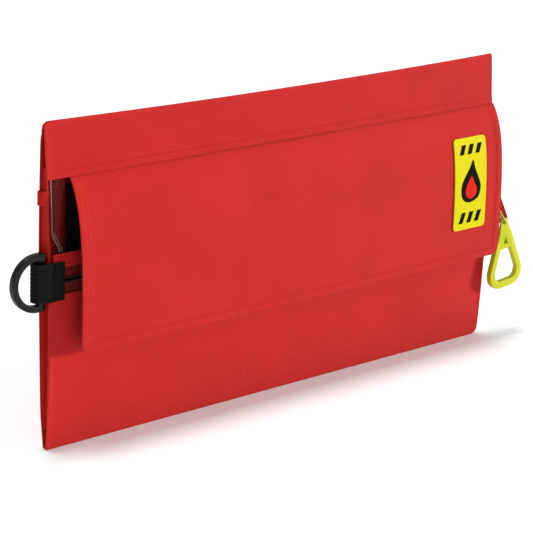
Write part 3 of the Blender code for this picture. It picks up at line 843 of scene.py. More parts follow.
@dataclass
class Body:
    """The sewn shell of the pouch."""

    shop: Workshop
    form: PouchForm
    cloth: float = 1.0 * MM
    step: float = 5.0 * MM
    pinch: float = 128 * MM
    stitches: list[list[Vector]] = field(default_factory=list)

    def build(self) -> None:
        """Make every panel of the shell and its stitches."""
        self._lower_panel()
        self._rail()
        self._band()
        self._back()
        for side, node in ((-1, "left_gusset"), (1, "right_gusset")):
            self._gusset(side, node)
        self._base()
        seams = Beads().build("body_stitches", self.stitches)
        self.shop.place(seams, THREAD, Slot.CLOTH, "pouch")

    def _row(
        self, low_x: float, high_x: float, height: Callable[[float], float], lift: float
    ) -> None:
        """Run a row of stitches across the front at this height."""
        xs = [low_x + (high_x - low_x) * t for t in even(60)]
        self.stitches.append(
            [Vector((x, self.form.front(x, height(x)) - lift, height(x))) for x in xs]
        )

    def _lower_panel(self) -> None:
        """The panel below the zip, with a folded edge along the zip and its ends."""
        form = self.form
        low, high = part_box("lower_front_panel")
        width, depth = 2 * form.half, high.z

        def shape(u: float, v: float) -> Triple:
            x = -form.half + width * u
            foot = form.base(x)
            z = foot + (depth - foot) * v
            side = 0.3 * MM * (1 - smooth((form.half - abs(x) - 2 * MM) / (1.5 * MM)))
            return x, form.front(x, z) - max(hem_lift(depth - z), side), z

        sheet = grid_sheet(
            "lower_panel_cloth", hemmed(width, self.step), hemmed(depth, self.step, low=False),
            shape, (width, depth), self.cloth,
        )
        self.shop.place(sheet, CLOTH, Slot.CLOTH, "pouch", ["lower_front_panel"])
        self._row(low.x + 4 * MM, high.x - 4 * MM, lambda x: depth - HEM_STITCH, 0.05 * MM)

    def _rail(self) -> None:
        """The narrow strip between the zip and the window."""
        form = self.form
        low, high, (width, depth) = frame_box("window_rail")

        def shape(u: float, v: float) -> Triple:
            x, z = low.x + width * u, low.z + depth * v
            edge = min(v, 1 - v) * depth
            return x, form.front(x, z) - 0.35 * MM * (1 - math.exp(-edge / (0.6 * MM))), z

        sheet = grid_sheet(
            "window_rail_cloth", hemmed(width, self.step), even(8), shape, (width, depth),
            self.cloth,
        )
        self.shop.place(sheet, CLOTH, Slot.CLOTH, "pouch", ["window_rail"])
        for z in (low.z + 1.8 * MM, high.z - 1.8 * MM):
            self._row(low.x + 2 * MM, high.x - 2 * MM, lambda x, z=z: z, 0.40 * MM)

    def _band(self) -> None:
        """The deep band along the top, folded over the edge to the back."""
        form = self.form
        low, high, (_, rise) = frame_box("top_band")
        width = 2 * form.half
        roll, tail = 1.25 * MM, 5 * MM
        total = rise + math.pi * roll + tail
        rows = hemmed(rise, self.step, high=False)
        rows = [r * rise / total for r in rows if r < 1 - 2 * MM / rise]
        rows += [(rise - 1.5 * MM + (total - rise + 1.5 * MM) * t) / total for t in even(14)]

        def shape(u: float, v: float) -> Triple:
            x = -form.half + width * u
            crest = form.top(x) - roll
            run = v * total
            reach = crest - low.z
            climb = rise - roll
            side = 0.3 * MM * (1 - smooth((form.half - abs(x)) / (4 * MM)))
            if run <= climb:
                z = low.z + reach * run / climb
                pull = hem_lift(z - low.z + 1.0 * MM)
                return x, form.front(x, z) - pull - side, z
            turn = min(1.0, (run - climb) / (math.pi * roll))
            middle = form.front(x, crest) + roll
            y = middle - roll * math.cos(math.pi * turn)
            z = crest + roll * math.sin(math.pi * turn)
            over = max(0.0, run - climb - math.pi * roll)
            return x, y - side * math.cos(math.pi * turn) + 0.25 * MM * turn, z - over

        sheet = grid_sheet(
            "top_band_cloth", hemmed(width, self.step), rows, shape, (width, total),
            self.cloth * 0.9,
        )
        self.shop.place(sheet, CLOTH, Slot.CLOTH, "pouch", ["top_band"])
        edge = 3 * MM
        self._row(-form.half + edge, form.half - edge, lambda x: form.top(x) - 4.5 * MM, -0.12 * MM)
        row = low.z + HEM_STITCH - 1.0 * MM
        self._row(-form.half + edge, form.half - edge, lambda x: row, 0.08 * MM)

    def _back(self) -> None:
        """The plain back panel, with hemmed ends."""
        form = self.form
        width = 2 * form.half
        tuck = 6.5 * MM

        def shape(u: float, v: float) -> Triple:
            x = form.half - width * u
            foot = form.base(x)
            z = foot + (form.top(x) - tuck - foot) * v
            lift = hem_lift(form.half - abs(x), lift=0.3 * MM)
            return x, form.back(x, z) + lift, z

        depth = form.height - tuck
        sheet = grid_sheet(
            "back_cloth", hemmed(width, self.step), even(44), shape, (width, depth), self.cloth
        )
        self.shop.place(sheet, CLOTH, Slot.CLOTH, "pouch", ["back_panel"])
        for side in (-1, 1):
            x = side * (form.half - HEM_STITCH)
            zs = [7 * MM + (depth - 10 * MM) * t for t in even(40)]
            self.stitches.append([Vector((x, form.back(x, z) + 0.05 * MM, z)) for z in zs])
        xs = [(form.half - 4 * MM) * (2 * t - 1) for t in even(60)]
        self.stitches.append([Vector((x, form.back(x, 5 * MM) + 0.1 * MM, 5 * MM)) for x in xs])

    def _gusset(self, side: int, node: str) -> None:
        """The strip folded in between front and back at one end."""
        form = self.form
        low, high, (_, height) = frame_box(node)
        edge = form.half - 0.8 * MM
        seam, deepest, shut, run = 2.1 * MM, 7.8 * MM, 0.82, 24 * MM
        crease_at, crease_width, crease_depth, ruck_depth = 0.22, 0.09, 1.0 * MM, 0.5 * MM

        def shape(u: float, v: float) -> Triple:
            turn = u if side > 0 else 1 - u
            z = low.z + height * v
            y0 = form.front(edge, z) + seam
            y1 = form.back(edge, z) - seam
            deep = 1 - shut * smooth((z - self.pinch + run / 2) / run)
            depth = min(deepest, 1.1 * (y1 - y0)) * deep
            fold = depth * max(0.0, math.sin(math.pi * turn)) ** 0.8
            near = math.exp(-(((turn - crease_at) / crease_width) ** 2))
            crease = crease_depth * near * (1 - deep)
            uneven = noise.noise(Vector((0, turn * 3, z * 60)))
            ruck = ruck_depth * math.sin(math.pi * turn) * uneven
            return side * (edge - fold - crease - ruck), y0 + (y1 - y0) * turn, z

        size = (18 * MM, height)
        sheet = grid_sheet(node + "_cloth", even(14), even(40), shape, size, self.cloth)
        self.shop.place(sheet, CLOTH, Slot.CLOTH, "pouch", [node])

    def _base(self) -> None:
        """The strip that closes the pouch underneath."""
        low, high, (width, _) = frame_box("base_strip")
        form = self.form
        front_seam, back_seam, least, lift = 1.3 * MM, 1.6 * MM, 0.6 * MM, 0.15 * MM

        def shape(u: float, v: float) -> Triple:
            x = low.x + width * u
            y0 = form.front(x, 0) + front_seam
            y1 = max(form.back(x, 0) - back_seam, y0 + least)
            return x, y0 + (y1 - y0) * (1 - v), low.z + lift * math.sin(math.pi * v)

        sheet = grid_sheet(
            "base_cloth", even(80), even(6), shape, (width, high.y - low.y), 0.9 * MM
        )
        self.shop.place(sheet, CLOTH, Slot.CLOTH, "pouch", ["base_strip"])


@dataclass
class Window:
    """The clear film with its cut edge."""

    shop: Workshop
    form: PouchForm
    behind: float = 1.3 * MM
    film: float = 0.4 * MM
    cut_height: float = 14 * MM
    cut_in: float = 5.5 * MM
    line_lift: float = 0.22 * MM

    def left(self, z: float) -> float:
        """The film's free edge at this height."""
        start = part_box("window_rail")[1].z
        cut = self.cut_in * smooth((start + self.cut_height - z) / self.cut_height)
        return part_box("window_film")[0].x + cut

    def build(self) -> None:
        """Make the film and the lines of its cut edge and its weld."""
        low, high, size = frame_box("window_film")
        form = self.form

        def shape(u: float, v: float) -> Triple:
            z = low.z + size[1] * v
            start = self.left(z)
            x = start + (high.x - start) * u
            return x, form.front(x, z) + self.behind, z

        columns = hemmed(size[0], 8 * MM)
        sheet = grid_sheet("window_sheet", columns, even(24), shape, size, self.film)
        self.shop.place(sheet, FILM, Slot.FILM, "pouch", ["window_film"])
        self._line("film_edge", 0.0, 0.55 * MM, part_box("top_band")[0].z)
        self._line("film_weld", 1.9 * MM, 0.35 * MM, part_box("window_rail")[1].z + self.cut_height)

    def _line(self, name: str, inset: float, width: float, band: float) -> None:
        """Run a narrow line beside the film's free edge, up to a height."""
        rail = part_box("window_rail")[1].z

        def shape(u: float, v: float) -> Triple:
            z = rail + 0.5 * MM + (band - rail - 1 * MM) * v
            x = self.left(z) + inset + width * u
            return x, self.form.front(x, z) + self.behind - self.line_lift, z

        line = grid_sheet(name, even(2), even(30), shape, (width, band - rail), 0.2 * MM)
        self.shop.place(line, FILM_EDGE, Slot.FILM, "pouch")


@dataclass
class Zip:
    """The zip: tapes, coils with teeth, slider, link and pull loop."""

    shop: Workshop
    form: PouchForm
    pins: dict[str, Vector]
    behind: float = 1.3 * MM
    tooth_pitch: float = 1.5 * MM

    def build(self) -> None:
        """Make each piece of the zip."""
        for name in ("lower", "upper"):
            self._tape(name)
            self._coil(name)
        for node in ("zip_stop_left", "zip_stop_right"):
            self._stop(node)
        self._slider()
        self._bail()
        self._link()
        self._pull()

    def _tape(self, name: str) -> None:
        """One woven tape."""
        low, _, size = frame_box("zip_tape_" + name)

        def shape(u: float, v: float) -> Triple:
            x, z = low.x + size[0] * u, low.z + size[1] * v
            return x, self.form.front(x, z) + self.behind, z

        sheet = grid_sheet("zip_tape_cloth_" + name, even(80), even(10), shape, size, 0.45 * MM)
        self.shop.place(sheet, TAPE, Slot.TAPE, "pouch", ["zip_tape_" + name])

    def _coil(self, name: str) -> None:
        """One row of nylon teeth."""
        low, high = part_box("zip_coil_" + name)
        middle = 0.5 * (low.z + high.z)
        xs = [low.x + (high.x - low.x) * t for t in even(80)]
        path = [Vector((x, self.form.front(x, middle) + 0.4 * MM, middle)) for x in xs]
        teeth = Beads(
            length=high.z - low.z + 0.3 * MM, width=0.95 * MM, height=high.y - low.y,
            pitch=self.tooth_pitch, segments=8, rings=6, across=True,
        )
        row = teeth.build("zip_teeth_" + name, [path])
        self.shop.place(row, NYLON, Slot.NYLON, "pouch", ["zip_coil_" + name])

    def _stop(self, node: str) -> None:
        """A clamped end stop with rounded edges."""
        low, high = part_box(node)
        plate = outlined_plate(
            node + "_clamp", rectangle(low.x, low.z, high.x, high.z), high.y - low.y,
            upright(0.5 * (low.y + high.y)), round_by=0.35 * MM,
        )
        self.shop.place(plate, METAL, Slot.METAL, "pouch", [node])

    def _slider(self) -> None:
        """The slider: a shaped front plate, a back plate and the web between them."""
        low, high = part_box("slider_body")
        cx, cz = 0.5 * (low.x + high.x), 0.5 * (low.z + high.z)
        half, deep = 0.5 * (high.x - low.x), 0.5 * (high.z - low.z)
        nose = [(-half, -0.62 * deep), (-0.35 * half, -0.76 * deep), (0.3 * half, -deep)]
        nose += [(0.82 * half, -deep), (half, -0.7 * deep)]
        nose += [(a, -b) for a, b in reversed(nose)]
        outline = [(cx + a, cz + b) for a, b in nose]
        front = low.y + 0.9 * MM
        plate = outlined_plate(
            "slider_plate", outline, 1.8 * MM, upright(front), round_by=0.5 * MM
        )
        self.shop.place(plate, METAL, Slot.METAL, "slider", ["slider_body"])
        rear = high.y - 0.5 * MM
        back = rectangle(low.x, cz - 3.3 * MM, low.x + 5.5 * MM, cz + 3.3 * MM)
        wing = outlined_plate("slider_wing", back, 1.0 * MM, upright(rear), round_by=0.3 * MM)
        self.shop.place(wing, METAL, Slot.METAL, "slider")
        web = rectangle(low.x + 1.1 * MM, -0.4 * MM, low.x + 5.3 * MM, 0.4 * MM)
        blade = outlined_plate(
            "slider_blade", web, rear - front, upright(0.5 * (front + rear), cz),
            round_by=0.12 * MM, segments=1,
        )
        self.shop.place(blade, METAL, Slot.METAL, "slider")

    def _bail(self) -> None:
        """The wire arch that carries the link."""
        low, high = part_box("slider_bail")
        wire = 0.5 * (high.z - low.z)
        z = 0.5 * (low.z + high.z)
        left, right, front = low.x + wire, high.x - wire, low.y + wire
        turn = 1.0 * MM
        path = [(left, high.y + 0.5 * MM), (left, front + turn)]
        path += arc(left + turn, front + turn, turn, 180, 270, 5)[1:]
        path += arc(right - turn, front + turn, turn, 270, 360, 5)
        path += [(right, high.y + 0.5 * MM)]
        bail = tube("bail_wire", [Vector((x, y, z)) for x, y in path], wire, False)
        self.shop.place(bail, METAL, Slot.METAL, "slider", ["slider_bail"])

    def _link(self) -> None:
        """The cord link between the bail and the pull loop."""
        top, eye = self.pins["link_swing"], self.pins["pull_swing"]
        along = (eye - top).normalized()
        reach = (eye - top).length
        half, start, past_eye, cord = 1.85 * MM, -1.9 * MM, 0.3 * MM, 0.75 * MM
        end = reach - half + past_eye
        bends = arc(start, 0, half, 90, 270, 14) + arc(end, 0, half, 270, 450, 14)
        path = [top + along * a + Vector((0, b, 0)) for a, b in bends]
        link = tube("link_cord", path, cord, True)
        self.shop.place(link, CORD, Slot.CORD, "link", ["puller_link"])

    def _pull(self) -> None:
        """The moulded pull loop, with its finger hole, its small hole and its eye."""
        eye = self.pins["pull_swing"]
        length, half_width, rim, leg, bar = 51.5 * MM, 17 * MM, 3.5 * MM, 5.3 * MM, 20.5 * MM
        thick, thin, lean = 4.0 * MM, 1.5 * MM, math.radians(6)
        shoulder = 0.74 * length
        slope = (half_width - rim) / shoulder
        bend = length - shoulder

        def mirrored(points: list[Point]) -> list[Point]:
            return points + [(-u, v) for u, v in reversed(points) if abs(u) > 1e-9]

        side = [(0.0, -rim)] + arc(0, 0, rim, -65, 0, 5)
        steps = (rim, 1.6 * rim, 2.4 * rim, 3.4 * rim, 0.6 * shoulder)
        side += [(rim + slope * v, v) for v in steps]
        side += [(half_width, shoulder)]
        side += arc(half_width - bend * 0.8, shoulder + bend * 0.2, bend * 0.8, 0, 90, 9)[1:]
        outline = mirrored(side)
        low, wide = length - 1.05 * leg, half_width - leg
        finger = [(rim + slope * bar - leg, bar), (wide, shoulder - 0.5 * MM)]
        finger += arc(wide - 0.45 * bend, low - 0.45 * bend, 0.45 * bend, 0, 90, 7)
        foot = bar - 3.8 * MM
        small = [(0.0, foot - 7 * MM), (2.3 * MM, foot)]
        hole = arc(0, 0, 1.7 * MM, 0, 345, 23)
        down = Vector((math.sin(lean), 0, -math.cos(lean)))
        across = Vector((math.cos(lean), 0, math.sin(lean)))

        def place(u: float, v: float, c: float) -> Triple:
            body = smooth((v - rim) / (1.2 * rim))
            share = (thin + (thick - thin) * body) / thick
            point = eye + across * u + down * v + Vector((0, c * share, 0))
            return point.x, point.y, point.z

        loop = outlined_plate(
            "pull_loop_moulding", outline, thick, place,
            [mirrored(finger), mirrored(small), hole], round_by=1.1 * MM, segments=4, crease=60,
        )
        self.shop.place(loop, PULL, Slot.PULL, "pull", ["pull_loop"])


def tube(name: str, path: list[Vector], radius: float, closed: bool) -> bpy.types.Object:
    """A round wire or cord along a path, as a mesh.

    Args:
        name: Name of the piece.
        path: Points of its centre line.
        radius: Radius of the wire.
        closed: Whether its ends meet.

    Returns:
        The finished mesh.
    """
    line = bpy.data.curves.new(name, "CURVE")
    line.dimensions = "3D"
    line.bevel_depth = radius
    line.bevel_resolution = 3
    line.use_fill_caps = not closed
    spline = line.splines.new("POLY")
    spline.points.add(len(path) - 1)
    for point, place in zip(spline.points, path):
        point.co = (*place, 1)
    spline.use_cyclic_u = closed
    piece = bpy.data.objects.new(name, line)
    bpy.context.scene.collection.objects.link(piece)
    make_active(piece)
    bpy.ops.object.convert(target="MESH")
    bpy.ops.object.shade_smooth_by_angle(angle=math.radians(60))
    return bpy.context.object


@dataclass
class Flap:
    """The weather flap with its lining, closure strip and label."""

    shop: Workshop
    form: PouchForm
    swell: float = 22 * MM
    fill: float = 80 * MM
    cloth: float = 1.0 * MM
    corner: float = 6 * MM
    slack: float = 0.6 * MM
    loose_below: float = 50 * MM
    tuck: float = 0.5 * MM
    tuck_in: float = 0.4 * MM
    strip_behind: float = 3.0 * MM
    strip_before: float = 1.15 * MM

    def __post_init__(self) -> None:
        """Read the flap's place from the frame."""
        self.low, self.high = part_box("flap_outer")
        self.start = self.form.smooth_front(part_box("top_band")[0].z)
        self.stand = -self.low.y
        self.full = 1 - math.exp(-self.fill / self.swell)

    def face(self, x: float, z: float) -> float:
        """Outer face of the flap."""
        drop = min(self.fill, self.high.z - z)
        fall = (1 - math.exp(-drop / self.swell)) / self.full
        ripple = FLAP_SLACK.at(x, z) + 0.35 * FLAP_CREASES.at(x, z)
        slack = self.slack * ripple * smooth(drop / self.loose_below)
        return self.start - (self.stand + self.start) * fall + slack

    def foot(self, x: float) -> float:
        """Lower edge of the flap, with rounded corners."""
        past = max(self.low.x + self.corner - x, x - self.high.x + self.corner)
        return self.low.z + corner_drop(past, self.corner)

    def build(self) -> None:
        """Make each layer of the flap."""
        self._outer()
        self._lining()
        self._strips()
        Label(self.shop, self).build()

    def _outer(self) -> None:
        """The face of the flap, with a folded hem on three sides."""
        low, high = self.low, self.high
        width, depth = high.x - low.x, high.z - low.z

        def shape(u: float, v: float) -> Triple:
            x = low.x + width * u
            foot = self.foot(x)
            z = foot + (high.z + self.tuck - foot) * v
            side = min(x - low.x, high.x - x)
            lift = max(hem_lift(side), hem_lift(z - foot)) * smooth((high.z - z) / (4 * MM))
            sunk = self.tuck_in * smooth((z - high.z + 3 * MM) / (3 * MM))
            return x, self.face(x, min(z, high.z)) - lift + sunk, z

        size = (width, 0.1145)
        sheet = grid_sheet(
            "flap_cloth", hemmed(width, 5 * MM), hemmed(depth, 3 * MM, high=False), shape, size,
            self.cloth,
        )
        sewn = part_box("flap_lining")[1].z
        bend = Bend("pouch", "flap", (0, self.start, high.z + self.tuck), (0, self.start, sewn))
        self.shop.place(sheet, CLOTH, Slot.CLOTH, bend, ["flap_outer"])
        inset, lift = HEM_STITCH, 0.04 * MM
        zs = [sewn - (sewn - low.z - inset - 2 * MM) * t for t in even(40)]
        left, right, bottom, turn = low.x + inset, high.x - inset, low.z + inset, 2 * MM
        line = [(left, z) for z in zs]
        line += arc(left + turn, bottom + turn, turn, 180, 270, 5)
        line += [(left + turn + (right - left - 2 * turn) * t, bottom) for t in even(60)]
        line += arc(right - turn, bottom + turn, turn, 270, 360, 5)
        line += [(right, z) for z in reversed(zs)]
        path = [Vector((x, self.face(x, z) - lift, z)) for x, z in line]
        seam = Beads().build("flap_stitches", [path])
        self.shop.place(seam, THREAD, Slot.CLOTH, "flap")

    def _lining(self) -> None:
        """The lining behind the face."""
        low, high, (width, _) = frame_box("flap_lining")

        def shape(u: float, v: float) -> Triple:
            x = low.x + width * u
            foot = self.foot(x) + 1 * MM
            z = foot + (high.z - foot) * v
            return x, self.face(x, z) + self.cloth + 0.35 * MM, z

        size = (width, 0.1015)
        sheet = grid_sheet("flap_lining_cloth", even(76), even(32), shape, size, 0.8 * MM)
        self.shop.place(sheet, LINING, Slot.LINING, "flap", ["flap_lining"])

    def _strips(self) -> None:
        """The two fuzzy closure strips."""
        for node, name, body in (
            ("flap_hook_strip", "hook_strip", "flap"),
            ("panel_loop_strip", "loop_strip", "pouch"),
        ):
            low, _, size = frame_box(node)

            def shape(u: float, v: float) -> Triple:
                x, z = low.x + size[0] * u, low.z + size[1] * v
                rough = 0.12 * MM * HOOK_FUZZ.at(x, z)
                if body == "flap":
                    return x, self.face(x, z) + self.strip_behind + rough, z
                return x, self.form.front(x, z) - self.strip_before + rough, z

            strip = grid_sheet(name, even(120), even(18), shape, size, 0.8 * MM)
            self.shop.place(strip, HOOK, Slot.HOOK, body, [node])


@dataclass
class Label:
    """The yellow label with a plain flame sign and hazard bars."""

    shop: Workshop
    flap: Flap
    thickness: float = 0.7 * MM
    gap: float = 0.25 * MM
    corner: float = 3 * MM
    print_depth: float = 0.12 * MM

    def __post_init__(self) -> None:
        """Read the label's place from the frame."""
        self.low, self.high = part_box("label_patch")
        self.middle = 0.5 * (self.low.x + self.high.x)

    def surface(self, x: float, z: float) -> float:
        """Outer face of the label."""
        return self.flap.face(x, z) - self.gap - self.thickness

    def build(self) -> None:
        """Make the label, its stitching and its print."""
        low, high = self.low, self.high
        size = (high.x - low.x, high.z - low.z)

        def inset(x: float) -> float:
            past = max(low.x + self.corner - x, x - high.x + self.corner)
            return corner_drop(past, self.corner)

        def shape(u: float, v: float) -> Triple:
            x = low.x + size[0] * u
            foot, head = low.z + inset(x), high.z - inset(x)
            z = foot + (head - foot) * v
            return x, self.surface(x, z), z

        turn = [self.corner / size[0] * (1 - math.cos(math.pi / 2 * t)) for t in even(6)]
        columns = turn + [turn[-1] + (1 - 2 * turn[-1]) * t for t in even(10)[1:-1]]
        columns += [1 - t for t in reversed(turn)]
        patch = grid_sheet("label_face", columns, even(26), shape, size, self.thickness)
        self.shop.place(patch, LABEL, Slot.LABEL, "flap", ["label_patch"])
        self._flame()
        self._bars()

    def _print(self, name: str, outline: list[Point], finish: Finish, layer: int) -> None:
        """Lay a printed shape on the label, given from the label's middle and foot."""
        lift = self.print_depth * (layer - 0.2)

        def place(a: float, b: float, c: float) -> Triple:
            x, z = self.middle + a, self.low.z + b
            return x, self.surface(x, z) - lift - c, z

        foot, head = min(b for _, b in outline), max(b for _, b in outline)
        cuts = [foot + (head - foot) * t for t in even(math.ceil((head - foot) / (2 * MM)))[1:-1]]
        shape = outlined_plate(name, outline, self.print_depth, place, bands=cuts)
        self.shop.place(shape, finish, Slot.LABEL, "flap")

    def _flame(self) -> None:
        """A flame in two colours."""
        outer = smooth_path(
            [(0, 20), (8, 23), (10.5, 31), (7.5, 39), (4.5, 45), (2.5, 51.5), (-1, 46),
             (-5, 41), (-9.5, 34), (-9.5, 26), (-6, 21.5), (0, 20)], 3,
        )
        self._print("flame_black", [(a * MM, b * MM) for a, b in outer[:-1]], PRINT_BLACK, 1)
        inner = smooth_path(
            [(0, 22.6), (5, 25), (6, 30), (3, 35.5), (0.6, 39.5), (-3, 35), (-5.4, 30),
             (-4.6, 25.2), (0, 22.6)], 3,
        )
        self._print("flame_red", [(a * MM, b * MM) for a, b in inner[:-1]], PRINT_RED, 2)

    def _bars(self) -> None:
        """Slanting hazard bars along the label's foot and head, in millimetres."""
        first, pitch, wide, slant = -11.5, 8.2, 4.2, 3.0
        for number, (foot, head) in enumerate(((5.0, 13.0), (56.0, 63.0))):
            for step in range(3):
                a = first + pitch * step
                bar = [(a, foot), (a + wide, foot), (a + wide + slant, head), (a + slant, head)]
                outline = [(p * MM, q * MM) for p, q in bar]
                self._print(f"hazard_bar_{number}_{step}", outline, PRINT_BLACK, 1)


@dataclass
class EndFittings:
    """The webbing loop and D-ring on the left, and the tape tabs."""

    shop: Workshop
    form: PouchForm
    webbing: float = 1.3 * MM
    tape: float = 1.3 * MM

    def build(self) -> None:
        """Make each fitting."""
        self._webbing()
        self._ring()
        self._side_tab()
        self._zip_tab()

    def _ribbon(
        self, name: str, path: list[Vector], rise: Vector, width: float, thickness: float,
        rows: int = 14, ribs: int = 0,
    ) -> bpy.types.Object:
        """A woven strip that follows a path, lying along the rise direction."""
        lengths = [0.0]
        for start, end in zip(path, path[1:]):
            lengths.append(lengths[-1] + (end - start).length)
        shares = [length / lengths[-1] for length in lengths]
        lookup = dict(zip(shares, path))
        outward: dict[float, Vector] = {}
        for index, share in enumerate(shares):
            before, after = path[max(0, index - 1)], path[min(len(path) - 1, index + 1)]
            outward[share] = (after - before).normalized().cross(rise).normalized()

        def shape(u: float, v: float) -> Triple:
            wave = 0.12 * MM * math.cos(2 * math.pi * ribs * v) if ribs else 0.0
            point = lookup[u] + rise * (width * v) + outward[u] * wave
            return point.x, point.y, point.z

        return grid_sheet(
            name, shares, even(rows), shape, (lengths[-1], width), thickness, offset=0.0
        )

    def _webbing(self) -> None:
        """The folded webbing loop with fine ribs and a sewn box."""
        low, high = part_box("webbing_loop")
        form, half = self.form, self.webbing / 2
        ring_y = -4.0 * MM
        radius = 3.9 * MM
        fold = low.x + half
        edge, sewn = -form.half, high.x
        front, rear = low.y + half, high.y - half
        flat = [(sewn, front)] + [(edge + along * MM, front) for along in (6, 2, -1)]
        flat += arc(fold + radius, ring_y, radius, 255, 105, 16)
        back_edge = form.back(edge, 0.5 * (low.z + high.z)) + 0.45 * MM + half
        flat += [(edge - 1 * MM, back_edge), (edge + 2 * MM, back_edge + 0.2 * MM), (sewn, rear)]
        path = [Vector((x, y, low.z)) for x, y in smooth_path(flat, 3)]
        width = high.z - low.z
        loop = self._ribbon(
            "webbing_strap", path, Vector((0, 0, 1)), width, self.webbing, rows=54, ribs=9
        )
        self.shop.place(loop, WEBBING, Slot.WEBBING, "pouch", ["webbing_loop"])
        face = low.y - 0.15 * MM
        a, b = edge + 2 * MM, sewn - 2 * MM
        c, d = low.z + 2 * MM, high.z - 2 * MM
        box = [*rectangle(a, c, b, d), (a, c)]
        seam = Beads(length=1.9 * MM, pitch=2.4 * MM).build(
            "webbing_stitches", [[Vector((x, face, z)) for x, z in box]]
        )
        self.shop.place(seam, BLACK_THREAD, Slot.WEBBING, "pouch")

    def _ring(self) -> None:
        """The moulded D-ring with rounded edges."""
        low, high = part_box("d_ring")
        joint_z = 0.5 * (low.z + high.z)
        outer_half = 0.5 * (high.z - low.z)
        band, bar, corner = 4.5 * MM, 5.0 * MM, 2 * MM
        open_half = outer_half - band
        bar_left = high.x - bar
        mid = bar_left - 0.5 * MM
        outer = arc(mid, 0, outer_half, 90, 270, 32)
        outer += arc(high.x - corner, -outer_half + corner, corner, -90, 0, 5)
        outer += arc(high.x - corner, outer_half - corner, corner, 0, 90, 5)
        inner = arc(mid, 0, open_half, 90, 270, 28)
        inner += [(bar_left, -open_half), (bar_left, open_half)]
        middle = 0.5 * (low.y + high.y)
        ring = outlined_plate(
            "ring_moulding", outer, high.y - low.y, upright(middle, joint_z),
            [inner], round_by=0.46 * (high.y - low.y), segments=6, crease=70,
        )
        self.shop.place(ring, PLASTIC, Slot.PLASTIC, "ring", ["d_ring"])

    def _side_tab(self) -> None:
        """The small tape strapped round the left edge, sewn at both ends."""
        low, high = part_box("side_tab")
        middle = 0.5 * (low.z + high.z)
        edge = -self.form.half
        front = self.form.front(edge, middle) + 2.6 * MM
        rear = self.form.back(edge, middle) - 0.8 * MM
        reach, half = edge - low.x - 0.5 * MM, 0.5 * (rear - front)
        bend = [
            (edge - reach * math.sin(math.pi * t) ** 0.6, front + 2 * half * t)
            for t in even(14)[1:-1]
        ]
        flat = [(edge + 2.6 * MM, front - 0.3 * MM), (edge + 0.6 * MM, front), *bend]
        flat += [(edge + 0.6 * MM, rear), (edge + 2.6 * MM, rear)]
        path = [Vector((x, y, low.z)) for x, y in flat]
        tab = self._ribbon("side_tab_tape", path, Vector((0, 0, 1)), high.z - low.z, 0.8 * MM)
        self.shop.place(tab, CLOTH, Slot.CLOTH, "pouch", ["side_tab"])
        out = edge - reach - 0.45 * MM
        rows = [
            [Vector((out, front + half * (0.75 + 0.5 * t), z)) for t in even(8)]
            for z in (low.z + 1.6 * MM, high.z - 1.6 * MM)
        ]
        seam = Beads(length=1.6 * MM, pitch=2.0 * MM).build("side_tab_stitches", rows)
        self.shop.place(seam, THREAD, Slot.CLOTH, "pouch")

    def _zip_tab(self) -> None:
        """The drooping tape tab at the zip's end."""
        zip_z, width = 113.6 * MM, 11.5 * MM
        root = self.form.half + 0.2 * MM
        points = [
            (0.0, -5.1), (0.0, 0.4), (2.0, 3.0), (6.0, 3.6), (10.5, 1.2),
            (17.5, -11.5), (23.8, -23.0), (25.2, -27.2), (23.6, -30.4), (20.6, -30.2),
        ]
        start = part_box("zip_end_tab")[0].y
        path = [Vector((root + a * MM, start, zip_z + b * MM)) for a, b in smooth_path(points, 5)]
        lean = math.radians(20)
        rise = Vector((math.sin(lean), math.cos(lean), 0))
        tab = self._ribbon("zip_tab_tape", path, rise, width, self.tape, rows=10)
        self.shop.place(tab, CLOTH, Slot.CLOTH, "pouch", ["zip_end_tab"])


@dataclass
class Contents:
    """The folded blanket inside the pouch."""

    shop: Workshop
    form: PouchForm
    front_gap: float = 3.9 * MM
    back_gap: float = 1.8 * MM
    folds: int = 4
    fold_depth: float = 0.6 * MM
    rim: float = 0.12

    def build(self) -> None:
        """Make the folded slab, with the lines of its folds at both ends."""
        low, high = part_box("folded_blanket")
        width, height = high.x - low.x, high.z - low.z
        deselect_all()
        bpy.ops.mesh.primitive_cube_add(size=1.0)
        piece = bpy.context.object
        piece.name = piece.data.name = "blanket_stack"
        bpy.ops.object.mode_set(mode="EDIT")
        bpy.ops.mesh.subdivide(number_cuts=23)
        bpy.ops.object.mode_set(mode="OBJECT")
        for vertex in piece.data.vertices:
            vertex.co = self._soft(vertex.co, low, width, height)
        apply_modifiers(piece, 60)
        self.shop.place(piece, FELT, Slot.FELT, "pouch", ["folded_blanket"])

    def _soft(self, co: Vector, low: Vector, width: float, height: float) -> Vector:
        """Swell one point of the block to the pouch and press the fold lines in."""
        u, v, w = co.x + 0.5, co.z + 0.5, co.y + 0.5
        x, z = low.x + width * u, low.z + height * v
        front = self.form.front(x, z) + self.front_gap
        back = self.form.back(x, z) - self.back_gap
        middle, half = 0.5 * (front + back), 0.5 * (back - front)
        edge_x, edge_z = (
            max(self.rim, max(0.0, 1 - abs(2 * share - 1) ** 6) ** 0.5) for share in (u, v)
        )
        fold = self.fold_depth * abs(math.sin(math.pi * self.folds * w))
        inward = fold if u in (0.0, 1.0) or abs(u - 0.5) > 0.499 else 0.0
        x -= math.copysign(inward, u - 0.5)
        return Vector((x, middle + (2 * w - 1) * half * edge_x * edge_z, z))


# --- floor, light and camera ---------------------------------------------------------


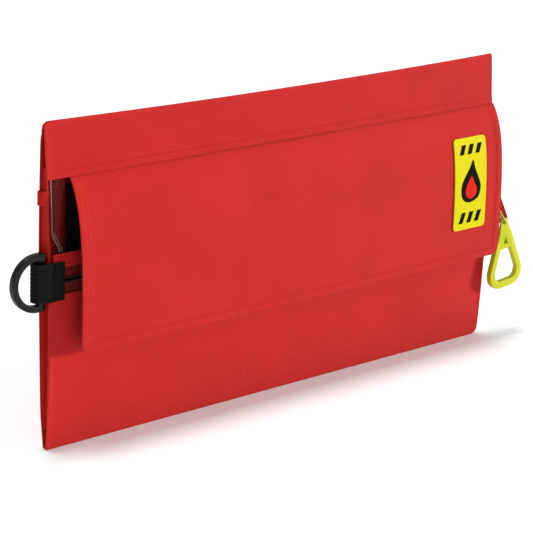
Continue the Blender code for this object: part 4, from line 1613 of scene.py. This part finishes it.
@dataclass
class Studio:
    """A pale floor, soft lights and the camera. Angles are in degrees."""

    lens: float = 140.65
    spot: Triple = (-0.9209, -1.0202, 0.5211)
    yaw: float = 41.73
    pitch: float = 17.54
    roll: float = 2.38
    floor_glow: float = 0.03
    surround: float = 0.5
    key: float = 3.4
    key_from: Triple = (0.888, -0.46, 0.14)
    overhead: float = 1.95
    overhead_from: Triple = (-0.06, 0.12, 0.99)
    floor_color: Triple = (0.89, 0.94, 0.94)
    floor_size: float = 30

    def build(self) -> None:
        """Make the floor, the lights and the camera."""
        self._floor()
        self._lights()
        self._camera()

    def _floor(self) -> None:
        """A pale floor."""
        deselect_all()
        bpy.ops.mesh.primitive_plane_add(size=self.floor_size, location=(0, 0, 0))
        floor = bpy.context.object
        floor.name = "studio_floor"
        material = bpy.data.materials.new("studio_floor")
        material.use_nodes = True
        shader = material.node_tree.nodes["Principled BSDF"]
        for label, value in {
            "Base Color": (*self.floor_color, 1),
            "Roughness": 0.9,
            "Specular IOR Level": 0.1,
            "Emission Color": (1, 1, 1, 1),
            "Emission Strength": self.floor_glow,
        }.items():
            shader.inputs[label].default_value = value
        floor.data.materials.append(material)

    @staticmethod
    def _lamp(name: str, strength: float, softness: float, towards: Vector) -> None:
        """One distant soft light that shines from this direction."""
        data = bpy.data.lights.new(name, "SUN")
        data.energy = strength
        data.angle = math.radians(softness)
        lamp = bpy.data.objects.new(name, data)
        lamp.location = towards
        lamp.rotation_euler = (-towards).to_track_quat("-Z", "Y").to_euler()
        bpy.context.scene.collection.objects.link(lamp)

    def _lights(self) -> None:
        """A bright surround, with the key low from the right and a light overhead."""
        world = bpy.data.worlds.new("surround")
        world.use_nodes = True
        background = world.node_tree.nodes["Background"]
        background.inputs["Color"].default_value = (1, 1, 1, 1)
        background.inputs["Strength"].default_value = self.surround
        bpy.context.scene.world = world
        self._lamp("key", self.key, 9, Vector(self.key_from))
        self._lamp("overhead", self.overhead, 16, Vector(self.overhead_from))

    def _camera(self) -> None:
        """The camera, turned about its own axis as well."""
        yaw, pitch, roll = (math.radians(a) for a in (self.yaw, self.pitch, self.roll))
        flat = Vector((math.sin(yaw), math.cos(yaw), 0))
        ahead = flat * math.cos(pitch) - Vector((0, 0, math.sin(pitch)))
        right = Vector((math.cos(yaw), -math.sin(yaw), 0))
        up = right.cross(ahead)
        turned = right * math.cos(roll) + up * math.sin(roll)
        raised = up * math.cos(roll) - right * math.sin(roll)
        data = bpy.data.cameras.new("camera")
        data.lens = self.lens
        data.sensor_width = 36
        camera = bpy.data.objects.new("camera", data)
        turn = Matrix((turned, raised, -ahead)).transposed().to_4x4()
        camera.matrix_world = Matrix.Translation(self.spot) @ turn
        bpy.context.scene.collection.objects.link(camera)
        bpy.context.scene.camera = camera


def main() -> None:
    """Build the looks around the frame."""
    logging.basicConfig(level=logging.INFO, format="%(name)s: %(message)s")
    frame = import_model()
    bpy.context.scene.view_settings.view_transform = "Standard"
    kit = ShaderKit()
    Studio().build()
    shop = Workshop(kit)
    form = PouchForm.from_frame()
    Body(shop, form).build()
    Window(shop, form).build()
    hinges = [joint for joint in frame["joints"] if "pos_m" in joint]
    pins = {joint["name"]: Vector(joint["pos_m"]) for joint in hinges}
    Zip(shop, form, pins).build()
    Flap(shop, form).build()
    EndFittings(shop, form).build()
    Contents(shop, form).build()


if __name__ == "__main__":
    main()
